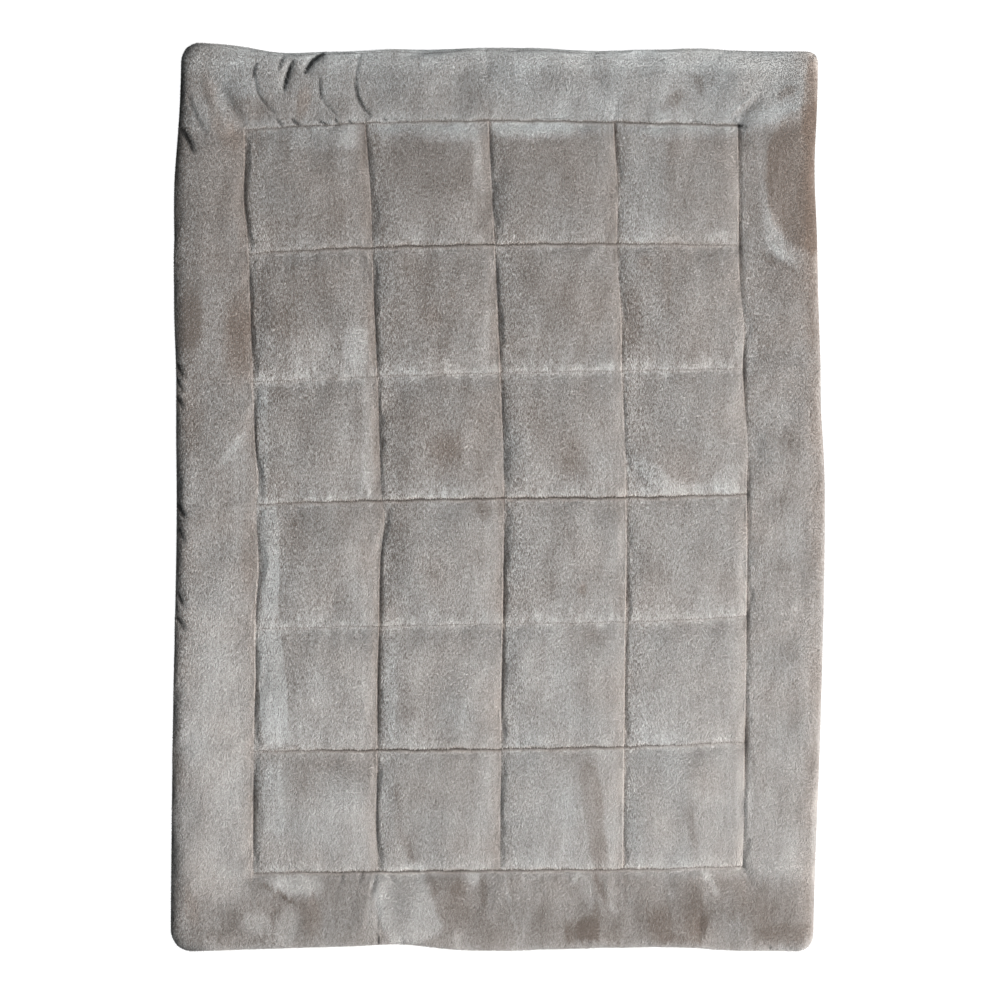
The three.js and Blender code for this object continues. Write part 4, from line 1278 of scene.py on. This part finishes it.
def plush_tone():
    """Node group: lock chance and the root of a fine noise, times the curl, are added to the nap and read
    from dark to light, tinted by the warmth and darkened by the painted shade that the fibre values carry,
    most at the root. The noise itself is the height."""
    tree = bpy.data.node_groups.new("plush tone", "ShaderNodeTree")
    for name in ("Nap", "Warmth", "Curl", "Tuft", "Fibre"):
        tree.interface.new_socket(name, in_out="INPUT", socket_type="NodeSocketFloat")
    tree.interface.new_socket("Color", in_out="OUTPUT", socket_type="NodeSocketColor")
    tree.interface.new_socket("Height", in_out="OUTPUT", socket_type="NodeSocketFloat")
    given = put(tree, "NodeGroupInput")
    place = put(tree, "ShaderNodeTexCoord")
    drawn = put(tree, "ShaderNodeMapping", {"Vector": place.outputs["Object"], "Scale": GRAIN_SCALE})
    grain = put(tree, "ShaderNodeTexNoise", {"Vector": drawn.outputs[0], "Scale": 1.0, "Detail": 1.0})
    nap = maths(tree, "MULTIPLY_ADD", given.outputs["Nap"], NAP_GAIN, NAP_MIDDLE)
    tuft = maths(tree, "MULTIPLY_ADD", given.outputs["Tuft"], TUFT_GAIN, -TUFT_GAIN / 2)
    pits = maths(tree, "POWER", grain.outputs["Fac"], PIT_POWER)
    fine = maths(tree, "MULTIPLY_ADD", pits, PIT_GAIN, -PIT_MIDDLE)
    both = maths(tree, "ADD", tuft, fine)
    level = maths(tree, "MULTIPLY_ADD", both, given.outputs["Curl"], nap)
    ramp = put(tree, "ShaderNodeValToRGB", {"Fac": level})
    ramp.color_ramp.elements[0].color = DARK_TONE
    ramp.color_ramp.elements[1].color = PALE_TONE
    ramp.color_ramp.elements.new(MIDDLE_AT).color = MIDDLE_TONE
    ramp.color_ramp.elements.new(LIGHT_AT).color = LIGHT_TONE
    shift = vector_maths(tree, "SCALE", WARM_SHIFT, given.outputs["Warmth"])
    tint = vector_maths(tree, "ADD", shift, (1, 1, 1))
    tinted = vector_maths(tree, "MULTIPLY", ramp.outputs[0], tint)
    light = maths(tree, "MULTIPLY_ADD", given.outputs["Fibre"], SHADING_GAIN, ROOT_LIGHT)
    shaded = vector_maths(tree, "SCALE", tinted, maths(tree, "MAXIMUM", light, LEAST_LIGHT))
    put(tree, "NodeGroupOutput", {"Color": shaded, "Height": grain.outputs["Fac"]})
    return tree


# %% Plush of the pile and of the cloth
PLUSH = {"Roughness": 0.9, "Specular IOR Level": 0.15, "Sheen Weight": 0.15, "Sheen Roughness": 0.5}
FLECK_DEPTH = 2 * MM
EVEN_TUFT = 0.5
PILE_BUMP, CLOTH_BUMP = 0.2, 0.9
tone_tree = plush_tone()


def new_material(name):
    """A material with only its shader and its output, ready for wiring."""
    material = bpy.data.materials.new(name)
    material.use_nodes = True
    return material, material.node_tree, material.node_tree.nodes["Principled BSDF"]


def attribute(tree, name):
    """A mesh's own number, read by name."""
    return put(tree, "ShaderNodeAttribute", attribute_name=name).outputs["Fac"]


def plush(name, tuft, bump):
    """Matt brushed fibre with a faint sheen. tuft is an attribute's name or a fixed number."""
    material, tree, shader = new_material(name)
    inputs = {socket: attribute(tree, socket.lower()) for socket in ("Nap", "Warmth", "Curl", "Fibre")}
    inputs["Tuft"] = attribute(tree, tuft) if isinstance(tuft, str) else tuft
    group = put(tree, "ShaderNodeGroup", inputs, node_tree=tone_tree)
    tree.links.new(group.outputs["Color"], shader.inputs["Base Color"])
    raised = {"Height": group.outputs["Height"], "Strength": bump, "Distance": FLECK_DEPTH}
    tree.links.new(put(tree, "ShaderNodeBump", raised).outputs[0], shader.inputs["Normal"])
    for socket, value in PLUSH.items():
        shader.inputs[socket].default_value = value
    return material


pile_material = plush("plush pile", "tuft", PILE_BUMP)
cloth_material = plush("plush cloth", EVEN_TUFT, CLOTH_BUMP)
for piece in pile_pieces:
    piece.data.materials.append(pile_material)
cover.data.materials.append(cloth_material)

# %% Thread
# The thread's dark tones are partly painted shade of the sewn grooves.
THREAD_TONES = ((0.3, (0.05, 0.042, 0.036, 1)), (0.7, (0.115, 0.1, 0.088, 1)))
TWISTS, THREAD_ROUGHNESS = 1400.0, 0.6
thread_material, thread_tree, thread_shader = new_material("quilting thread")
thread_place = put(thread_tree, "ShaderNodeTexCoord")
twisted = {"Vector": thread_place.outputs["Object"], "Scale": TWISTS, "Detail": 1.0}
twist = put(thread_tree, "ShaderNodeTexNoise", twisted)
thread_ramp = put(thread_tree, "ShaderNodeValToRGB", {"Fac": twist.outputs["Fac"]})
for stop, (at, colour) in zip(thread_ramp.color_ramp.elements, THREAD_TONES):
    stop.position = at
    stop.color = colour
thread_tree.links.new(thread_ramp.outputs[0], thread_shader.inputs["Base Color"])
thread_shader.inputs["Roughness"].default_value = THREAD_ROUGHNESS
for piece in stitches:
    piece.data.materials.append(thread_material)
print("materials:", [material.name for material in bpy.data.materials])

# %% [markdown]
# ## Floor, light and camera
# The bedspread lies on a plain pale floor under a large soft light from above, which is cool, and a
# lower warm one from the right that rakes across the pile. The camera looks straight down from far
# enough to be nearly flat.

# %% Floor
FLOOR_SIZE, FLOOR_ROUGHNESS = 12.0, 0.9
FLOOR_TONE, FLOOR_GLOW = (0.12, 0.12, 0.12, 1), 0.97
floor_points = np.array([(-1, -1, 0), (1, -1, 0), (1, 1, 0), (-1, 1, 0)]) * FLOOR_SIZE / 2
floor = into_scene("floor", new_mesh("floor", floor_points, [np.array([(0, 1, 2, 3)])]))
floor_material, floor_tree, floor_shader = new_material("pale floor")
floor_shader.inputs["Base Color"].default_value = FLOOR_TONE
floor_shader.inputs["Roughness"].default_value = FLOOR_ROUGHNESS
sight = put(floor_tree, "ShaderNodeLightPath")
floor_shader.inputs["Emission Color"].default_value = (1, 1, 1, 1)
glow = maths(floor_tree, "MULTIPLY", sight.outputs["Is Camera Ray"], FLOOR_GLOW)
floor_tree.links.new(glow, floor_shader.inputs["Emission Strength"])
floor.data.materials.append(floor_material)
print("floor, metres:", FLOOR_SIZE)


# %% Lights
def lamp(name, kind, distance, elevation, azimuth, **settings):
    """A light that faces the quilt's middle. Its azimuth is where it stands, from +X towards +Y, in
    degrees."""
    light = bpy.data.lights.new(name, kind)
    for setting, value in settings.items():
        setattr(light, setting, value)
    high, turn = math.radians(elevation), math.radians(azimuth)
    level = distance * math.cos(high)
    stand = into_scene(name, light)
    stand.location = (level * math.cos(turn), level * math.sin(turn), distance * math.sin(high))
    stand.rotation_euler = (0, math.pi / 2 - high, turn)


lamp("warm window", "AREA", distance=9.0, elevation=40, azimuth=-8,
     shape="DISK", size=2.0, energy=1700, color=(1.0, 0.97, 0.945))
lamp("soft ceiling", "SUN", distance=0.0, elevation=88, azimuth=180,
     angle=math.radians(90), energy=1.2, color=(0.88, 0.96, 1.0))
print("lights:", [light.name for light in bpy.data.lights])

# %% Sky and camera
SKY, SKY_STRENGTH = (0.95, 0.98, 1.0, 1), 0.08
world = bpy.data.worlds.new("studio")
world.use_nodes = True
world.node_tree.nodes["Background"].inputs["Color"].default_value = SKY
world.node_tree.nodes["Background"].inputs["Strength"].default_value = SKY_STRENGTH
scene = bpy.context.scene
scene.world = world
scene.view_settings.view_transform = "Standard"

CAMERA_HEIGHT, FACE_LEVEL = 8.0, 0.02
AIM_X, AIM_Y = 5.5, -6.6
VIEW_WIDTH = 2.2
SENSOR = 36.0
camera_data = bpy.data.cameras.new("camera")
camera_data.sensor_width = SENSOR
camera_data.lens = SENSOR * (CAMERA_HEIGHT - FACE_LEVEL) / VIEW_WIDTH
camera = into_scene("camera", camera_data)
camera.location = ((AIM_X - CENTRE_X) * MM, (AIM_Y - CENTRE_Y) * MM, CAMERA_HEIGHT)
scene.camera = camera
print("lens, mm:", round(camera_data.lens, 1))
